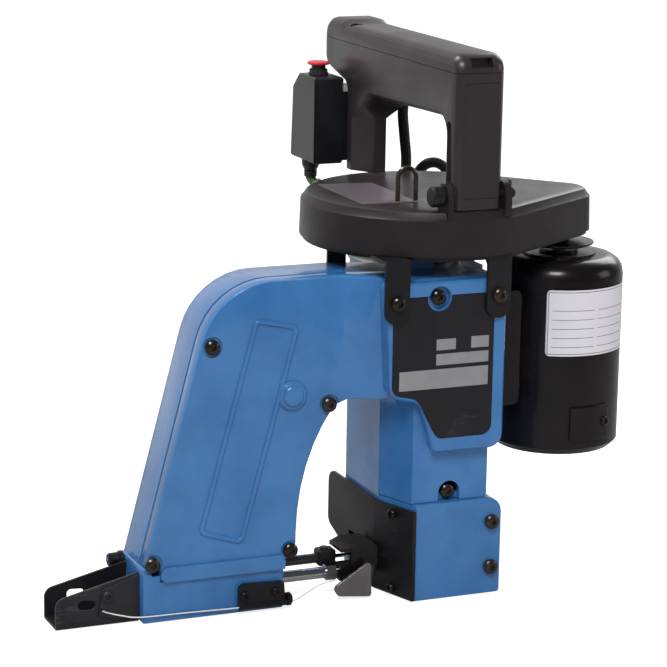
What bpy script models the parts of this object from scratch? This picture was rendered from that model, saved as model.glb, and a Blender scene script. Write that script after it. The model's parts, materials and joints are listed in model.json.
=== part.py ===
"""Bag closer sewing machine: a hand-held industrial machine that sews a filled bag shut.

Metres, +Z up, X along the front from the needle leg to the motor, Y from the front to the back.
Shapes are drawn from the front bottom left corner of the looper housing, at the foot of the column,
and an empty moves them so that the main shaft's foot is the origin.
The blue body is a rear casting closed by two front covers. A vertical main shaft stands in the
column, with a drive pulley on top that a belt turns from the motor beside it. The shaft swings the
needle lever in the arm, and the lever pushes the horizontal needle bar through the presser foot to
the throat plate, where the looper and the feed dog wait.
"""

import math

import bmesh
import bpy
import numpy as np
from mathutils import Matrix, Vector

# ---------------------------------------------------------------- driving dimensions
GAP = 0.0003              # between pieces that touch
WALL = 0.004              # walls of the castings
SEAM_Y = 0.030            # plane where the front covers meet the rear casting

BLOCK_RIGHT = 0.055       # looper housing at the foot of the column
BLOCK_TOP = 0.060
BLOCK_CORNER = 0.009
BLOCK_FRONT_LEFT = -0.0015
BLOCK_LEFT = -0.0125

COLUMN_FRONT = 0.0033     # column above the looper housing
COLUMN_FRONT_LEFT = -0.0033
COLUMN_LEFT = -0.0132
COLUMN_RIGHT = 0.046
COLUMN_WIDE_RIGHT = 0.0525 # right side of its upper part
COLUMN_WIDE_Z = 0.0945
COLUMN_BACK = 0.086
COLUMN_TOP = 0.197
COLUMN_EDGE = 0.007       # rounding of its back edges

ARM_FRONT = 0.017         # arm and needle leg
ARM_BACK = 0.060
ARM_TOP = 0.199
ARM_CORNER = 0.045        # rounding where the leg turns into the arm
ARCH_TOP = 0.125
ARCH_FILLET = 0.008
LEG_LEAN = math.radians(14.6)
LEG_LEFT = -0.1655        # left edge of the leg where it meets the foot
LEG_RIGHT = -0.0712
FOOT_LEFT = -0.167        # foot block of the needle leg
FOOT_RIGHT = -0.079
FOOT_TOP = 0.033
FOOT_STEP = 0.0245        # top of the foot under the cover's lip
LIP_LEFT = -0.1565
LIP_PROUD = 0.0022
EDGE_ROUND = 0.003

PANEL_FRONT = -0.0035     # raised panel that carries the nameplate
PANEL_LEFT = -0.0248
PANEL_RIGHT = COLUMN_WIDE_RIGHT
PANEL_BOTTOM = 0.0925
PANEL_NECK = 0.0055       # left edge of the panel where it narrows
PLATE_THICK = 0.0008

SHAFT_X, SHAFT_Y = 0.029, 0.063   # vertical main shaft
SHAFT_R = 0.005
SHAFT_FOOT = WALL + GAP
FLANGE_R = 0.021
FLANGE_TOP = 0.204
BEARING_R = 0.011
BEARING_LONG = 0.009
PULLEY_R = 0.060
PULLEY_BOTTOM = 0.2135
PULLEY_TALL = 0.014
PULLEY_GROOVE = 0.004
BELT_THICK = 0.0035
BELT_WIDE = 0.007

MOTOR_X, MOTOR_Y = 0.1167, 0.055  # motor, with its shaft up
MOTOR_R = 0.0403
MOTOR_BOTTOM = 0.0762
MOTOR_TOP = 0.196
MOTOR_SHOULDER = 0.011
MOTOR_SHAFT_R = 0.004
MOTOR_WALL = 0.0035
MOTOR_SIDES = 32
ROTOR_R = 0.0200
MOTOR_PULLEY_R = 0.011

COVER_BOTTOM = 0.211      # belt cover
COVER_TOP = 0.2375
COVER_R = 0.0765
COVER_X, COVER_Y = 0.030, 0.066
COVER_WALL = 0.0026
COVER_END_R = 0.0185
COVER_WALL_START = math.radians(-71)
COVER_SHOULDER = 0.0052
BRACKET_INSET = 0.0020

HANDLE_LEFT = 0.0150      # handle, which runs front to back over the belt cover
HANDLE_RIGHT = 0.0470
HANDLE_FRONT = -0.0055
HANDLE_END = 0.194
GRIP_UNDER = 0.2875       # top of the hand opening
GRIP_TALL = 0.0410
CAP_TALL = 0.0110         # upper half shell of the grip
HANDLE_TOP = GRIP_UNDER + GRIP_TALL
HANDLE_SPLIT = HANDLE_TOP - CAP_TALL
HANDLE_EDGE = 0.0065
NEAR_LEG_BACK = 0.0108
FAR_LEG_FRONT = 0.1320
FAR_LEG_BACK = 0.158
HAND_CORNER = 0.010
PIN_Z = 0.2460
PIN_Y = 0.0000
PIN_R = 0.0030
EAR_R = 0.0075

SWITCH_LEFT = -0.0050     # switch box on the back of the handle
SWITCH_BACK = 0.200
SWITCH_BOTTOM = 0.2400
SWITCH_TOP = 0.2950
BUTTON_X, BUTTON_Y = 0.0038, 0.175
BUTTON_R = 0.0072
BUTTON_TRAVEL = 0.0025
BUSH_R = 0.0058
BUSH_TALL = 0.0034
STEM_R = 0.0045
GLAND_TALL = 0.0075

PLATE_Z0, PLATE_TOP = 0.0006, 0.0563   # throat plate
PLATE_SHEET = 0.0020
PLATE_BACK = 0.104
NEEDLE_Y, NEEDLE_Z = 0.040, 0.0205
PRESSER_Y, PRESSER_Z = 0.0300, 0.0145
NEEDLE_BAR_R = 0.0030
PRESSER_BAR_R = 0.0035
FOOT_FACE = -0.0158       # face of the presser foot against the throat plate

LEVER_X, LEVER_Z = -0.0752, 0.1299     # pivot of the needle lever
LEVER_LOW = 0.1099        # from the pivot down to the needle bar's pin
LEVER_HIGH = 0.0250
LEVER_PIN_X = -0.0920      # where the lever drives the needle bar
LEVER_Y = 0.0460
LEVER_HALF = 0.0022
LEVER_LEAN = math.atan2(LEVER_X - LEVER_PIN_X, LEVER_LOW)
LEVER_PIN_R = 0.0025
ROD_THROW = 0.00275
ECCENTRIC_R = 0.0070
STRAP_R = 0.0150
ROD_Z = LEVER_Z + 0.0240

GUIDE_LEFT = -0.2175      # bag guide, a U channel at the far left
GUIDE_FRONT = 0.0240
GUIDE_BACK = 0.0480
GUIDE_SHEET = 0.0016
GUIDE_LOW = 0.0180
GUIDE_HIGH = 0.0300

KNOB_Y, KNOB_Z = 0.0545, 0.0290        # thread tension knob on the foot's left side
KNOB_POST_R = 0.0016

SCREW_R = 0.0046          # M5 socket heads
SCREW_TALL = 0.0035
SEAT_R = 0.0062           # recess round a head
SEAT_DEEP = 0.0012
STRAP_WIDE = 0.0155
STRAP_THICK = 0.0022


# ---------------------------------------------------------------- materials
def material(name, colour, roughness, metallic=0.0):
    made = bpy.data.materials.new(name)
    made.use_nodes = True
    shader = made.node_tree.nodes["Principled BSDF"]
    shader.inputs["Base Color"].default_value = (*colour, 1.0)
    shader.inputs["Roughness"].default_value = roughness
    shader.inputs["Metallic"].default_value = metallic
    made.diffuse_color = (*colour, 1.0)
    return made


# ---------------------------------------------------------------- outlines
def corner(before, here, after, radius, step=math.radians(15)):
    """Points of the arc that rounds one corner of an outline."""
    here = np.array(here[:2], float)
    back = np.array(before[:2], float) - here
    ahead = np.array(after[:2], float) - here
    back /= np.linalg.norm(back)
    ahead /= np.linalg.norm(ahead)
    half = math.acos(max(-1.0, min(1.0, float(back @ ahead)))) / 2
    reach = radius / math.tan(half)
    middle = (back + ahead) / np.linalg.norm(back + ahead)
    centre = here + middle * radius / math.sin(half)
    start = here + back * reach - centre
    turn = math.pi - 2 * half
    if back[0] * ahead[1] - back[1] * ahead[0] > 0:
        turn = -turn
    count = max(2, math.ceil(abs(turn) / step))
    angles = np.linspace(0, turn, count + 1)
    cos, sin = np.cos(angles), np.sin(angles)
    arc = np.stack([start[0] * cos - start[1] * sin, start[0] * sin + start[1] * cos], axis=1)
    return [tuple(centre + point) for point in arc]


def rounded(points, step=math.radians(15)):
    """An outline whose points (u, v, r) are rounded with radius r."""
    result = []
    for n, here in enumerate(points):
        if len(here) < 3 or here[2] <= 0:
            result.append(tuple(here[:2]))
            continue
        result += corner(points[n - 1], here, points[(n + 1) % len(points)], here[2], step)
    return result


def arc(centre, radius, start, end, count):
    angles = np.linspace(start, end, count)
    return [(centre[0] + radius * math.cos(a), centre[1] + radius * math.sin(a)) for a in angles]


def bend(start, pull, end, count):
    """Points of a quadratic curve from start to end, drawn towards pull."""
    t = np.linspace(0, 1, count)[:, None]
    start, pull, end = (np.array(p, float) for p in (start, pull, end))
    return [tuple(p) for p in (1 - t) ** 2 * start + 2 * t * (1 - t) * pull + t**2 * end]


def inset(points, distance):
    """The outline moved inwards by distance, whichever way it runs."""
    pts = np.array([p[:2] for p in points], float)
    area = np.sum(pts[:, 0] * np.roll(pts[:, 1], -1) - np.roll(pts[:, 0], -1) * pts[:, 1])
    side = 1.0 if area > 0 else -1.0
    before = pts - np.roll(pts, 1, axis=0)
    after = np.roll(pts, -1, axis=0) - pts
    n_before = np.stack([-before[:, 1], before[:, 0]], 1) / np.linalg.norm(before, axis=1)[:, None]
    n_after = np.stack([-after[:, 1], after[:, 0]], 1) / np.linalg.norm(after, axis=1)[:, None]
    mitre = n_before + n_after
    mitre /= np.maximum(np.sum(mitre * n_before, axis=1), 0.25)[:, None]
    return [tuple(p) for p in pts + mitre * distance * side]


# ---------------------------------------------------------------- solids
def finish(name, mesh, look):
    obj = bpy.data.objects.new(name, mesh)
    bpy.context.scene.collection.objects.link(obj)
    mesh.materials.clear()
    mesh.materials.append(LOOKS[look])
    return obj


def from_bmesh(name, bm, look):
    bmesh.ops.recalc_face_normals(bm, faces=bm.faces)
    mesh = bpy.data.meshes.new(name)
    bm.to_mesh(mesh)
    bm.free()
    return finish(name, mesh, look)


def lofted(name, rings, look, closed=False):
    """Skins rings with equal point counts, with a cap at each end or joined end to end."""
    bm = bmesh.new()
    loops = [[bm.verts.new(point) for point in ring] for ring in rings]
    count = len(loops[0])
    pairs = list(zip(loops, loops[1:] + loops[:1])) if closed else list(zip(loops, loops[1:]))
    for low, high in pairs:
        for n in range(count):
            m = (n + 1) % count
            bm.faces.new((low[n], low[m], high[m], high[n]))
    if not closed:
        bm.faces.new(loops[0])
        bm.faces.new(loops[-1])
    return from_bmesh(name, bm, look)


AXES = {
    "x": lambda u, v, w: (w, u, v),
    "y": lambda u, v, w: (u, w, v),
    "z": lambda u, v, w: (u, v, w),
}


def prism(name, outline, axis, low, high, look="blue"):
    """The outline, in the plane across axis, extruded from low to high."""
    to_world = AXES[axis]
    rings = [[to_world(p[0], p[1], level) for p in outline] for level in (low, high)]
    return lofted(name, rings, look)


def box(name, low, high, look="blue"):
    outline = [(low[0], low[1]), (high[0], low[1]), (high[0], high[1]), (low[0], high[1])]
    return prism(name, outline, "z", low[2], high[2], look)


def turned(name, profile, centre, axis, look, sides=24, closed=False):
    """Turns a profile of (radius, height) round an axis through centre."""
    to_world = AXES[axis]
    angles = np.linspace(0, 2 * math.pi, sides, endpoint=False)
    rings = []
    for radius, height in profile:
        rings.append([
            Vector(to_world(radius * math.cos(a), radius * math.sin(a), height)) + Vector(centre)
            for a in angles
        ])
    return lofted(name, rings, look, closed)


def rod(name, centre, axis, radius, low, high, look, sides=20):
    """A round bar along axis; centre gives its other two coordinates."""
    return turned(name, [(radius, low), (radius, high)], centre, axis, look, sides)


def wire(name, points, radius, look, resolution=2):
    """A round wire or lead along points, with closed ends."""
    curve = bpy.data.curves.new(name, "CURVE")
    curve.dimensions = "3D"
    curve.bevel_depth = radius
    curve.bevel_resolution = resolution
    curve.use_fill_caps = True
    spline = curve.splines.new("POLY")
    spline.points.add(len(points) - 1)
    for target, point in zip(spline.points, points):
        target.co = (*point, 1.0)
    curve.materials.append(LOOKS[look])
    obj = bpy.data.objects.new(name, curve)
    bpy.context.scene.collection.objects.link(obj)
    return obj


def smooth_route(points, spacing):
    """Points about spacing apart on a smooth curve through the route's own points."""
    pts = np.array(points, float)
    ends = np.concatenate([[2 * pts[0] - pts[1]], pts, [2 * pts[-1] - pts[-2]]])
    result = []
    for n in range(1, len(ends) - 2):
        a, b, c, d = ends[n - 1:n + 3]
        count = max(2, round(np.linalg.norm(c - b) / spacing))
        for t in np.arange(count) / count:
            result.append(0.5 * (2 * b + (c - a) * t + (2 * a - 5 * b + 4 * c - d) * t**2
                                 + (3 * b - a - 3 * c + d) * t**3))
    result.append(pts[-1])
    return [tuple(p) for p in result]


def baked(obj):
    """Replaces the object's mesh by what its modifiers make of it."""
    graph = bpy.context.evaluated_depsgraph_get()
    mesh = bpy.data.meshes.new_from_object(obj.evaluated_get(graph))
    obj.modifiers.clear()
    obj.data = mesh
    return obj


def boolean(obj, others, operation):
    for other in others:
        other.hide_render = True
        other.display_type = "WIRE"
        step = obj.modifiers.new(operation.title(), "BOOLEAN")
        step.operation = operation
        step.object = other
        baked(obj)
        bpy.data.objects.remove(other)
    return obj


def cut(obj, *others):
    return boolean(obj, others, "DIFFERENCE")


def join(obj, *others):
    return boolean(obj, others, "UNION")


def common(obj, *others):
    return boolean(obj, others, "INTERSECT")


def soften(obj, width, segments=2, angle=50):
    """Rounds the edges that turn by more than angle."""
    step = obj.modifiers.new("Soft edges", "BEVEL")
    step.width = width
    step.segments = segments
    step.limit_method = "ANGLE"
    step.angle_limit = math.radians(angle)
    step.use_clamp_overlap = True
    return baked(obj)


def on_axis(obj, origin):
    """Puts the object's origin at a point, with its shape left where it is."""
    obj.data.transform(Matrix.Translation(-Vector(origin)))
    obj.location = origin
    return obj


def shade(obj, angle=35):
    if obj.type == "MESH":
        obj.data.shade_smooth()
        obj.data.set_sharp_from_angle(angle=math.radians(angle))
    return obj


# ---------------------------------------------------------------- outlines of the body
COVER_FOOT = [(LEG_RIGHT, 0.030), (FOOT_RIGHT, 0.030), (FOOT_RIGHT, FOOT_STEP + GAP),
              (LIP_LEFT, FOOT_STEP + GAP), (LIP_LEFT, FOOT_TOP + GAP), (LEG_LEFT, FOOT_TOP + GAP)]
FRAME_FOOT = [(LEG_RIGHT, 0.030), (FOOT_RIGHT - 0.002, 0.030), (FOOT_RIGHT - 0.002, FOOT_STEP - 0.003),
              (LEG_LEFT + 0.0005, FOOT_STEP - 0.003), (LEG_LEFT, FOOT_TOP)]
HOLLOW_FOOT = [(LEG_RIGHT, FOOT_STEP), (LEG_LEFT, FOOT_STEP), (LEG_LEFT, FOOT_TOP)]


def leg_outline(foot):
    """Front outline of the needle leg and arm, as far as the column, down to the foot's points."""
    lean = math.tan(LEG_LEAN)
    top_left = LEG_LEFT + (ARM_TOP - FOOT_TOP) * lean
    arch = bend((LEG_RIGHT, 0.045), (LEG_RIGHT + 0.0007, 0.090), (LEG_RIGHT + 0.0232, 0.121), 7)
    return rounded(
        [(top_left, ARM_TOP, ARM_CORNER), (-0.040, ARM_TOP), (0.010, COLUMN_TOP - 0.0008),
         (0.010, ARCH_TOP), (-0.040, ARCH_TOP)]
        + arch[::-1] + foot, math.radians(10))


def plate_outline():
    """Front outline of the nameplate: straight on the right, an S on the left."""
    return rounded([
        (-0.0208, 0.1876, 0.0012), (-0.0205, 0.1300, 0.0060), (-0.0040, 0.1265, 0.0100),
        (0.0055, 0.1075, 0.0080), (0.0095, 0.1014, 0.0050), (0.0443, 0.1014, 0.0060),
        (0.0443, 0.1876, 0.0012)], math.radians(18))


def panel_outline():
    """Front outline of the raised panel round the nameplate."""
    top = COLUMN_TOP - 0.001
    return rounded([
        (PANEL_LEFT, top, 0.0040), (PANEL_LEFT + 0.0033, 0.1275, 0.0100), (-0.0020, 0.1235, 0.0090),
        (PANEL_NECK, 0.1000, 0.0100), (PANEL_NECK + 0.0015, PANEL_BOTTOM, 0.0040),
        (PANEL_RIGHT, PANEL_BOTTOM, 0.0085), (PANEL_RIGHT, top, 0.0040)], math.radians(18))


def cover_outline(shrink=0.0):
    """Plan of the belt cover: a big arc round the pulley, a small one round the motor shaft."""
    big, small = COVER_R - shrink, COVER_END_R - shrink
    span = math.hypot(MOTOR_X - COVER_X, MOTOR_Y - COVER_Y)
    along = math.atan2(MOTOR_Y - COVER_Y, MOTOR_X - COVER_X)
    back = along + math.acos((COVER_R - COVER_END_R) / span)
    big_arc = arc((COVER_X, COVER_Y), big, back, 2 * math.pi + COVER_WALL_START, 31)
    small_arc = arc((MOTOR_X, MOTOR_Y), small, math.radians(-55), back, 9)
    return big_arc + small_arc


# ---------------------------------------------------------------- castings and covers
def arch_fillet(*stations):
    """Fillet under the arm where it meets the column; each station is (y, x of the wall)."""
    rings = []
    for y, wall in stations:
        ring = [(wall + 0.003, ARCH_TOP + 0.002), (wall + 0.003, ARCH_TOP - ARCH_FILLET)]
        ring += arc((wall - ARCH_FILLET, ARCH_TOP - ARCH_FILLET), ARCH_FILLET, 0, math.pi / 2, 6)
        ring += [(wall - ARCH_FILLET, ARCH_TOP + 0.002)]
        rings.append([(x, y, z) for x, z in ring])
    return lofted("arch_fillet", rings, "blue")


def main_frame():
    """Rear casting: arm, needle leg, foot block and column, hollow and open to the front."""
    back_of_seam = SEAM_Y + GAP / 2
    frame = prism("main_frame", leg_outline(FRAME_FOOT), "y", SEAM_Y - 0.008, ARM_BACK)
    soften(frame, EDGE_ROUND, 2, 60)
    plan = rounded([(COLUMN_LEFT, SEAM_Y - 0.006), (COLUMN_WIDE_RIGHT, SEAM_Y - 0.006),
                    (COLUMN_WIDE_RIGHT, COLUMN_BACK, COLUMN_EDGE),
                    (COLUMN_LEFT, COLUMN_BACK, COLUMN_EDGE)])
    column = prism("column", plan, "z", 0.0, COLUMN_TOP)
    cut(column, box("side_trim", (COLUMN_LEFT - 0.01, 0.0, -0.01), (BLOCK_LEFT, 0.2, BLOCK_TOP - 0.001)),
        box("narrow", (COLUMN_RIGHT, 0.0, -0.01), (0.1, 0.1, COLUMN_WIDE_Z)))
    face = rounded([(BLOCK_LEFT + 0.001, 0.0), (BLOCK_RIGHT, 0.0, 0.002),
                    (BLOCK_RIGHT, BLOCK_TOP, BLOCK_CORNER), (BLOCK_LEFT + 0.001, BLOCK_TOP)])
    base = prism("base", face, "y", SEAM_Y - 0.007, COLUMN_BACK - COLUMN_EDGE)
    join(frame, column, base, arch_fillet((ARM_BACK - 0.004, COLUMN_LEFT), (SEAM_Y - 0.004, COLUMN_LEFT)))
    cut(frame, box("trim", (-0.2, SEAM_Y - 0.02, -0.01), (0.2, back_of_seam, 0.3)))
    foot = box("foot", (FOOT_LEFT, ARM_FRONT, 0.0), (FOOT_RIGHT, ARM_BACK - 0.0005, FOOT_TOP))
    soften(foot, 0.0015, 2)
    cut(foot, box("step", (LIP_LEFT, ARM_FRONT - 0.01, FOOT_STEP), (0.0, back_of_seam + 0.001, 0.05)))
    post = rod("post", (0, KNOB_Y, KNOB_Z), "x", KNOB_POST_R, FOOT_LEFT - 0.0100, FOOT_LEFT + 0.002,
               "blue", 12)
    boss = box("boss", (0.0050, 0.0310, COLUMN_TOP - 0.002), (0.0200, 0.0428, 0.2045))
    join(frame, foot, boss, post)
    hollow = prism("hollow", inset(leg_outline(HOLLOW_FOOT), WALL), "y", 0.0,
                   ARM_BACK - WALL)
    well = box("well", (COLUMN_LEFT + WALL, 0.0, WALL),
               (COLUMN_RIGHT - WALL, COLUMN_BACK - WALL, COLUMN_TOP - WALL))
    wide_well = box("wide_well", (0.010, 0.0, COLUMN_WIDE_Z + WALL),
                    (COLUMN_WIDE_RIGHT - WALL, COLUMN_BACK - WALL, COLUMN_TOP - WALL))
    wide = box("wide", (BLOCK_LEFT + WALL, 0.0, WALL),
               (BLOCK_RIGHT - WALL, COLUMN_BACK - WALL - 0.004, BLOCK_TOP - WALL))
    pit = box("pit", (FOOT_LEFT + 0.005, ARM_FRONT + WALL, WALL),
              (FOOT_RIGHT - 0.005, ARM_BACK - WALL, FOOT_TOP + 0.010))
    cut(frame, hollow, well, wide_well, wide, pit)
    window = box("window", (BLOCK_LEFT - 0.01, SEAM_Y + 0.003, 0.006),
                 (BLOCK_LEFT + 0.01, 0.078, 0.034))
    needle_hole = rod("needle_hole", (0, NEEDLE_Y, NEEDLE_Z), "x", NEEDLE_BAR_R + GAP, -0.09,
                      -0.06, "blue", 20)
    presser_hole = rod("presser_hole", (0, PRESSER_Y, PRESSER_Z), "x", PRESSER_BAR_R + GAP, -0.09,
                       -0.07, "blue", 20)
    shaft_hole = rod("shaft_hole", (SHAFT_X, SHAFT_Y, 0), "z", BEARING_R + GAP, 0.17, 0.23, "blue")
    pivot_hole = rod("pivot_hole", (LEVER_X, 0, LEVER_Z), "y", 0.0040 + GAP, ARM_BACK - 0.02,
                     ARM_BACK - 0.0015, "blue", 16)
    seat = rod("seat", (-0.1612, 0, 0.0356), "y", SEAT_R, 0.0, ARM_FRONT + SEAT_DEEP, "blue")
    return cut(frame, window, needle_hole, presser_hole, shaft_hole, pivot_hole, seat)


def front_cover():
    """Front shell over the leg, arm and column, with the raised nameplate panel."""
    rear = SEAM_Y - GAP / 2
    plan = rounded([(-0.20, rear), (-0.20, ARM_FRONT), (-0.046, ARM_FRONT, 0.020),
                    (-0.022, 0.0075, 0.012), (0.030, 0.0075), (0.030, rear)])
    leg = prism("leg", leg_outline(COVER_FOOT), "y", -0.02, rear + EDGE_ROUND)
    cover = prism("front_cover", plan, "z", FOOT_STEP, ARM_TOP + 0.01)
    common(cover, leg)
    soften(cover, EDGE_ROUND, 2, 60)
    chamfered = [(COLUMN_LEFT, rear), (COLUMN_FRONT_LEFT, COLUMN_FRONT),
                 (COLUMN_RIGHT, COLUMN_FRONT), (COLUMN_RIGHT, rear)]
    column = prism("column", chamfered, "z", BLOCK_TOP + GAP, COLUMN_TOP)
    panel = prism("panel", panel_outline(), "y", PANEL_FRONT, rear + 0.001)
    soften(panel, 0.0012, 1, 60)
    lip = rounded([(LIP_LEFT, FOOT_STEP + GAP, 0.004), (FOOT_RIGHT, FOOT_STEP + GAP),
                   (FOOT_RIGHT, 0.0335), (LIP_LEFT, 0.0335, 0.004)])
    bead = prism("bead", lip, "y", ARM_FRONT - LIP_PROUD, SEAM_Y - 0.002)
    slope = (COLUMN_FRONT_LEFT - COLUMN_LEFT) / (SEAM_Y - COLUMN_FRONT)
    join(cover, column, panel, bead,
         arch_fillet((rear, COLUMN_LEFT), (ARM_FRONT, COLUMN_LEFT + (SEAM_Y - ARM_FRONT) * slope)))
    back_trim = box("back_trim", (-0.2, rear, 0.0), (0.2, 0.1, 0.3))
    recess = prism("recess", inset(plate_outline(), -GAP), "y", PANEL_FRONT - 0.01,
                   PANEL_FRONT + PLATE_THICK + GAP)
    hollow = prism("hollow", inset(leg_outline(HOLLOW_FOOT), WALL), "y", ARM_FRONT + WALL,
                   0.05)
    well = prism("well", inset(chamfered, WALL), "z",
                 BLOCK_TOP + WALL, COLUMN_TOP - WALL)
    mouth_y = rear - WALL - 0.001
    open_back = box("open_back", (COLUMN_LEFT + WALL + 0.0005, mouth_y, BLOCK_TOP + WALL),
                    (COLUMN_RIGHT - WALL, 0.05, COLUMN_TOP - WALL))
    wide_well = box("wide_well", (0.010, COLUMN_FRONT + WALL, COLUMN_WIDE_Z + WALL),
                    (COLUMN_WIDE_RIGHT - WALL, 0.05, COLUMN_TOP - WALL))
    cut(cover, back_trim, recess, hollow, well, open_back, wide_well)
    for number in (1, 2, 3, 4):
        x, y, z = SCREWS[f"cover_screw_{number}"]
        cut(cover, rod("seat", (x, 0, z), "y", SEAT_R, ARM_FRONT - 0.01, y, "blue"))
    top_seat = rod("top_seat", (0.0090, 0, 0.1864), "y", 0.0072, PANEL_FRONT - 0.01,
                   PANEL_FRONT + 0.0040, "blue")
    notch = rod("notch", (0.0210, 0, 0.0655), "y", 0.0070, COLUMN_FRONT - 0.01,
                COLUMN_FRONT + 0.0040, "blue")
    mouth = box("mouth", (0.0140, COLUMN_FRONT - 0.01, 0.050), (0.0280, COLUMN_FRONT + 0.0040, 0.0655))
    cut(cover, top_seat, notch, mouth)
    hub = turned("hub", [(0.0090, ARM_FRONT + 0.002), (0.0090, ARM_FRONT - 0.0010),
                         (0.0078, ARM_FRONT - 0.0022)], (LEVER_X, 0, LEVER_Z), "y", "blue", 24)
    return join(cover, hub)


def lower_cover():
    """Cover of the looper housing, with a chamfered left side and a rounded top right corner."""
    rear = SEAM_Y - GAP / 2
    plan = [(BLOCK_LEFT, rear), (BLOCK_FRONT_LEFT, 0.0), (BLOCK_RIGHT, 0.0), (BLOCK_RIGHT, rear)]
    face = rounded([(-0.03, 0.0), (BLOCK_RIGHT, 0.0, 0.002),
                    (BLOCK_RIGHT, BLOCK_TOP, BLOCK_CORNER), (-0.03, BLOCK_TOP)])
    cover = prism("lower_cover", plan, "z", -0.01, BLOCK_TOP + 0.01)
    common(cover, prism("face", face, "y", -0.01, 0.05))
    inner = [(BLOCK_LEFT + WALL + 0.001, 0.05), (BLOCK_LEFT + WALL + 0.001, SEAM_Y - 0.002),
             (BLOCK_FRONT_LEFT + WALL, WALL), (BLOCK_RIGHT - WALL, WALL),
             (BLOCK_RIGHT - WALL, 0.05)]
    return cut(cover, prism("inside", inner, "z", WALL, BLOCK_TOP - WALL))


def nameplate():
    """Black plate in the panel's recess, notched round the top screw. Its face stays bare."""
    plate = prism("nameplate", plate_outline(), "y", PANEL_FRONT, PANEL_FRONT + PLATE_THICK,
                  "black_plate")
    hole = rod("hole", (0.0090, 0, 0.1864), "y", 0.0080, PANEL_FRONT - 0.01, 0.01, "blue")
    above = box("above", (0.0010, PANEL_FRONT - 0.01, 0.1864), (0.0170, 0.01, 0.210))
    return cut(plate, hole, above)


# ---------------------------------------------------------------- throat plate and bag guide
def throat_plate():
    """Bent sheet that wraps the looper housing's chamfer and carries on past the column."""
    inner = [(BLOCK_FRONT_LEFT - GAP, -0.0012), (BLOCK_LEFT - GAP, SEAM_Y + 0.0005),
             (BLOCK_LEFT - GAP, PLATE_BACK)]
    outer = [(BLOCK_LEFT - GAP - PLATE_SHEET, PLATE_BACK),
             (BLOCK_LEFT - GAP - PLATE_SHEET, SEAM_Y + 0.0011),
             (BLOCK_FRONT_LEFT - GAP - PLATE_SHEET - 0.0002, -0.0012)]
    plate = prism("throat_plate", inner + outer, "z", PLATE_Z0, PLATE_TOP, "black_metal")
    flag = rounded([(-0.02, -0.01), (0.060, -0.01), (0.060, PLATE_Z0), (0.086, 0.016, 0.02),
                    (PLATE_BACK, 0.022, 0.006), (PLATE_BACK, PLATE_TOP, 0.008), (-0.02, PLATE_TOP)])
    common(plate, prism("flag", flag, "x", -0.03, 0.02))
    slot = box("slot", (-0.03, 0.036, 0.0225), (0.0, 0.070, 0.0262))
    needle = rod("needle_hole", (0, NEEDLE_Y, NEEDLE_Z), "x", 0.0030, -0.03, 0.0, "blue", 16)
    feed = box("feed", (-0.03, 0.034, 0.0085), (0.0, 0.070, 0.0135))
    return cut(plate, slot, needle, feed)


def guide_profile(left, right, low_top, high_top):
    """Side of the bag guide: a wall that rises towards the leg, with a rounded outer corner."""
    return rounded([(left, GAP), (right, GAP), (right, high_top), (left, low_top, 0.006)])


def bag_guide():
    """U channel that leads the bag mouth in at the left, open at both ends."""
    right = FOOT_LEFT - GAP
    side = guide_profile(GUIDE_LEFT, right, GUIDE_LOW, GUIDE_HIGH)
    guide = prism("bag_guide", side, "y", GUIDE_FRONT, GUIDE_BACK, "black_metal")
    inside = box("inside", (GUIDE_LEFT - 0.01, GUIDE_FRONT + GUIDE_SHEET, GUIDE_SHEET + GAP),
                 (right + 0.01, GUIDE_BACK - GUIDE_SHEET, 0.05))
    slot = prism("slot", rounded([(-0.2040, 0.0105, 0.0025), (-0.1935, 0.0100, 0.0025),
                                  (-0.1935, 0.0160, 0.0025), (-0.2040, 0.0165, 0.0025)]),
                 "y", 0.0, 0.1)
    cut(guide, inside, slot)
    tongue = [(-0.1920, 0.0060), (right, 0.0015), (right, 0.0292), (-0.1900, 0.0215)]
    join(guide, prism("tongue", tongue, "y", GUIDE_FRONT - 0.0012, GUIDE_FRONT + 0.0004))
    return cut(guide, rod("eye", (THREAD[0][0], 0, THREAD[0][2]), "y", 0.0010, 0.0, 0.03, "blue", 12))


# ---------------------------------------------------------------- drive
def bearing_flange():
    flange = turned("bearing_flange", [
        (BEARING_R + GAP, COLUMN_TOP + GAP), (FLANGE_R, COLUMN_TOP + GAP), (FLANGE_R, 0.1995),
        (0.0155, 0.2008), (0.0145, FLANGE_TOP), (SHAFT_R + 0.0012, FLANGE_TOP),
        (SHAFT_R + 0.0012, FLANGE_TOP - 0.002), (BEARING_R + GAP, FLANGE_TOP - 0.002)],
        (SHAFT_X, SHAFT_Y, 0), "z", "aluminium", 24, closed=True)
    return flange


def ball_bearing(name, z):
    """Outer size of a ball bearing, with a shielded face recessed on both sides."""
    profile = [(SHAFT_R + GAP, z), (0.0070, z), (0.0074, z + 0.0005), (0.0090, z + 0.0005),
               (0.0094, z), (BEARING_R, z), (BEARING_R, z + BEARING_LONG), (SHAFT_R + GAP, z + BEARING_LONG)]
    return turned(name, profile, (SHAFT_X, SHAFT_Y, 0), "z", "steel", 18, closed=True)


def main_shaft():
    shaft = turned("main_shaft", [
        (0.0040, SHAFT_FOOT), (SHAFT_R, SHAFT_FOOT + 0.001), (SHAFT_R, 0.2330), (0.0042, 0.2340)],
        (SHAFT_X, SHAFT_Y, 0), "z", "steel", 20)
    return on_axis(shaft, (SHAFT_X, SHAFT_Y, SHAFT_FOOT))


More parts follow.
